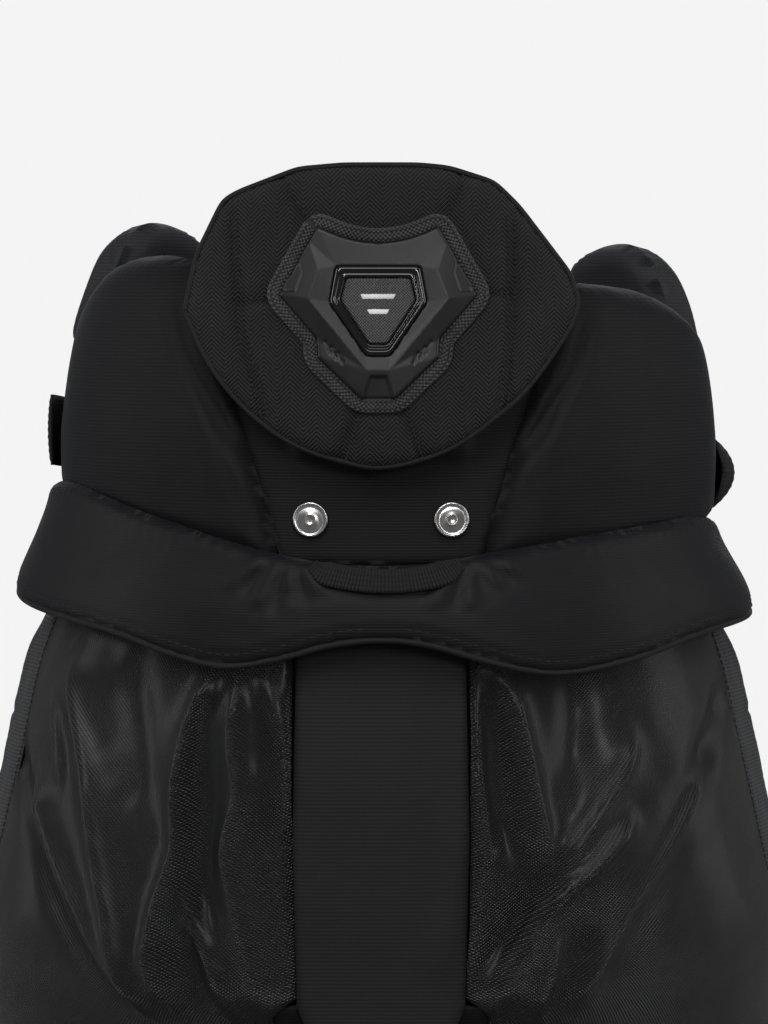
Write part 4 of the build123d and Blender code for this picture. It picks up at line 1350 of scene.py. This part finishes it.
def zip_fastener(name, side):
    """The zip on the inner thigh: a tape and two rows of moulded teeth."""
    centre = OUTER_ARC + INNER_ARC / 2
    heights = np.linspace(14, 165, 60)
    path = np.stack([np.full(60, centre), heights], axis=1)
    tape = sweep(f"{name}_zip_tape_webbing", trousers(side), path, strap_section(22, 0.2, 1.5, 8), WEBBING,
                 closed=False)
    fits(tape, f"{name}_leg", [f"{name}_zip_chain"])
    verts, faces, cloth = [], [], []
    pitch = 2.2
    for k in range(int((165 - 16) / pitch)):
        z = 16 + k * pitch
        shift = 0.7 if k % 2 else -0.7
        base = len(verts)
        corners = [(centre + shift + dx, z + dz, h) for h in (1.2, 2.7) for dx, dz in
                   ((-1.8, -0.7), (1.8, -0.7), (1.8, 0.7), (-1.8, 0.7))]
        flat = np.array([(x, zz) for x, zz, _ in corners])
        verts += list(trousers(side)(flat, np.array([h for *_, h in corners])))
        cloth += list(flat)
        faces += [[base + i for i in f] for f in ((0, 3, 2, 1), (4, 5, 6, 7), (0, 1, 5, 4), (1, 2, 6, 5),
                                                  (2, 3, 7, 6), (3, 0, 4, 7))]
    teeth = to_object(f"{name}_zip_teeth", verts, faces, cloth, GLOSS_PLASTIC, smooth=False)
    fits(teeth, f"{name}_leg", [])


def seat_pieces():
    """The woven seat panel, the fly tongue, the crotch strip and the tailbone pad."""
    heights = np.linspace(SEAT_TOP, CROTCH_Z - 4, 40)
    half = np.interp(heights, [CROTCH_Z - 4, 300, SEAT_TOP], [45.5, 47.5, 44.5])
    tip = [(-40, 194), (-26, 184), (0, 180), (26, 184), (40, 194)]
    outline = np.vstack([np.stack([-half, heights], axis=1), tip, np.stack([half, heights], axis=1)[::-1]])
    sway = [([(-30, 430), (-28, 330), (-34, 230)], 12, 1.6), ([(22, 400), (30, 320), (26, 230)], 10, -2.0),
            ([(36, 330), (38, 270), (30, 215)], 7, 2.6)]

    def front(p, depth):
        return folded(-1.8 + 1.8 * dome(depth, 4), p, sway, 40) + 0.5 * wander(p, 60, 51)

    obj = panel("seat_panel_woven", seat, ordered(dense(outline, 4.0)), front,
                lambda p, d: front(p, d) - 2.2 * dome(d, 3) - 0.2, WOVEN, 3.5)
    fits(obj, "root", ["seat_panel"])

    def front_seat(p, off):
        return seat(p, off) * (1, -1, 1)

    tongue = [(-29, CROTCH_Z + 2), (29, CROTCH_Z + 2), (29, SEAT_TOP), (-29, SEAT_TOP)]
    obj = panel("fly_tongue_cloth", front_seat, ordered(dense(tongue, 4.0)),
                lambda p, d: -1.8 + 1.8 * dome(d, 5) + 0.4 * wander(p, 40, 71),
                crown(-2.0, -1.4, 4), WOVEN, 3.5)
    fits(obj, "root", ["fly_tongue"])

    def crotch(p, off):
        share = p[:, 1] / 128.0
        height = 200 + 6 - 32 * np.sqrt(np.maximum(0, 1 - share**2))
        return np.stack([p[:, 0], p[:, 1], height - off], axis=1)

    strip = [(-17, -127.9), (17, -127.9), (17, 127.9), (-17, 127.9)]
    obj = panel("crotch_gusset_cloth", crotch, ordered(dense(strip, 4.0)), crown(-1, 1.2, 3),
                crown(-1, -2.5, 3), WOVEN, 4.0)
    fits(obj, "root", ["crotch_gusset"])
    tail = [(-44, 398), (44, 398), (48, 330), (24, 250), (-24, 250), (-48, 330)]
    obj = panel("tailbone_cushion", seat, ordered(eased(dense(tail, 4.0), 6)), crown(-10, 5.6, 6),
                crown(-10, -5.6, 7), FOAM_COVER, 4.0)
    fits(obj, "root", ["tailbone_pad"])


# ---- buttons ---------------------------------------------------------------------------------------
BUTTON_TURNS = 72
BUTTON_MIDDLE = 4.35                      # the dish's height at its middle
BUTTON_PROFILE = [(2.2, 4.25), (2.5, 4.42), (3.1, 4.42), (3.4, 4.22), (6.6, 3.85), (7.9, 3.65), (8.3, 3.95),
                  (8.9, 4.0), (9.35, 3.7), (9.5, 3.2), (9.3, 2.7), (8.7, 2.45), (4.0, 2.3), (3.2, 1.9),
                  (3.1, 0.6)]             # radius, height


def button_cap(name, levels, front_side):
    """A turned suspender button: a shallow dished cap with a rolled rim, on a short post."""
    low, high = (np.array(corner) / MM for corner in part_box(name))
    centre = (low + high) / 2
    ring_a, ring_b = along(levels, 1, centre[2]), along(levels, 2, centre[2])
    sign = 1 if front_side else -1
    angle = np.arctan2(centre[0] / ring_a, sign * np.sqrt(max(0, 1 - (centre[0] / ring_a) ** 2)))
    normal = Vector((np.sin(angle) / ring_a, np.cos(angle) / ring_b, 0)).normalized()
    face = Vector((ring_a * np.sin(angle), ring_b * np.cos(angle) + SHIFT_Y, centre[2]))
    count = len(BUTTON_PROFILE)
    verts = [(r * np.cos(t), r * np.sin(t), h) for r, h in BUTTON_PROFILE for t in circle(BUTTON_TURNS)]
    verts.append((0, 0, BUTTON_MIDDLE))
    faces = tube_faces(count, BUTTON_TURNS)
    faces += [[len(verts) - 1, (j + 1) % BUTTON_TURNS, j] for j in range(BUTTON_TURNS)]
    faces.append([(count - 1) * BUTTON_TURNS + j for j in range(BUTTON_TURNS)])
    mesh = bpy.data.meshes.new(name + "_cap")
    mesh.from_pydata([(x * MM, y * MM, h * MM) for x, y, h in verts], [], faces)
    mesh.polygons.foreach_set("use_smooth", [True] * len(mesh.polygons))
    mesh.update()
    cap = in_scene(name + "_cap", mesh, BUTTON_METAL)
    cap.location = face * MM
    cap.rotation_euler = normal.to_track_quat("Z", "Y").to_euler()
    face_outwards(cap)
    bpy.context.view_layer.update()
    fits(cap, name, [name])


def button_metal():
    """Nickel with the fan-shaped sheen of a turned face."""
    n = Nodes("button_nickel")
    coordinates = n.node("TexCoord").outputs["Object"]
    split = n.node("SeparateXYZ")
    n.link(coordinates, split.inputs[0])
    square_x, square_y = (n.math("POWER", split.outputs[k], 2.0) for k in (0, 1))
    radius = n.math("SQRT", n.math("ADD", square_x, square_y))
    turning = n.wave(radius, 0.00028)
    tarnish = n.noise(coordinates, 260.0, 5.0)
    colour = n.ramp(tarnish, [(0.2, (0.6, 0.59, 0.57)), (0.7, (0.72, 0.71, 0.69))])
    n.link(colour, n.shader.inputs["Base Color"])
    n.link(n.math("MULTIPLY_ADD", tarnish, 0.03, 0.2), n.shader.inputs["Roughness"])
    tangent = n.node("Tangent", direction_type="RADIAL", axis="Z")
    n.link(tangent.outputs[0], n.shader.inputs["Tangent"])
    n.set(Metallic=1.0, Anisotropic=0.75)
    n.bump(turning, 0.0012)
    return n.material


BUTTON_METAL = button_metal()


# ---- CAD nodes that stay ---------------------------------------------------------------------------
def paint(node, material):
    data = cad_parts[node].data
    data.materials.clear()
    data.materials.append(material)


def paint_hardware():
    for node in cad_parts:
        if any(word in node for word in ("buckle", "zip_slider", "zip_pull", "eyelets", "button_tacks")):
            paint(node, ZINC)
        elif "plate" in node:
            paint(node, PLATE)


# ---- the object ------------------------------------------------------------------------------------
make_camera()
make_stage()
for side_label, side_sign in SIDES.items():
    for kind, build in (("kidney_pad", kidney_pad), ("hip_wing", hip_wing), ("hip_pad", hip_pad),
                        ("waist_pad", waist_pad), ("belt", belt)):
        build(f"{side_label}_{kind}", side_sign)
lumbar_panel()
waistband()
guard_cover()
shield_trim()
shield()
bezel_and_badge()
rear_flap()
hanger_loop()
seat_pieces()
for side_sign in SIDES.values():
    trousers_half(side_sign)
for node_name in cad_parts:
    if node_name.endswith("_rear_button"):
        button_cap(node_name, LUMBAR_LEVELS, False)
    elif node_name.endswith("_front_button"):
        button_cap(node_name, PAD_LEVELS, True)
paint_hardware()
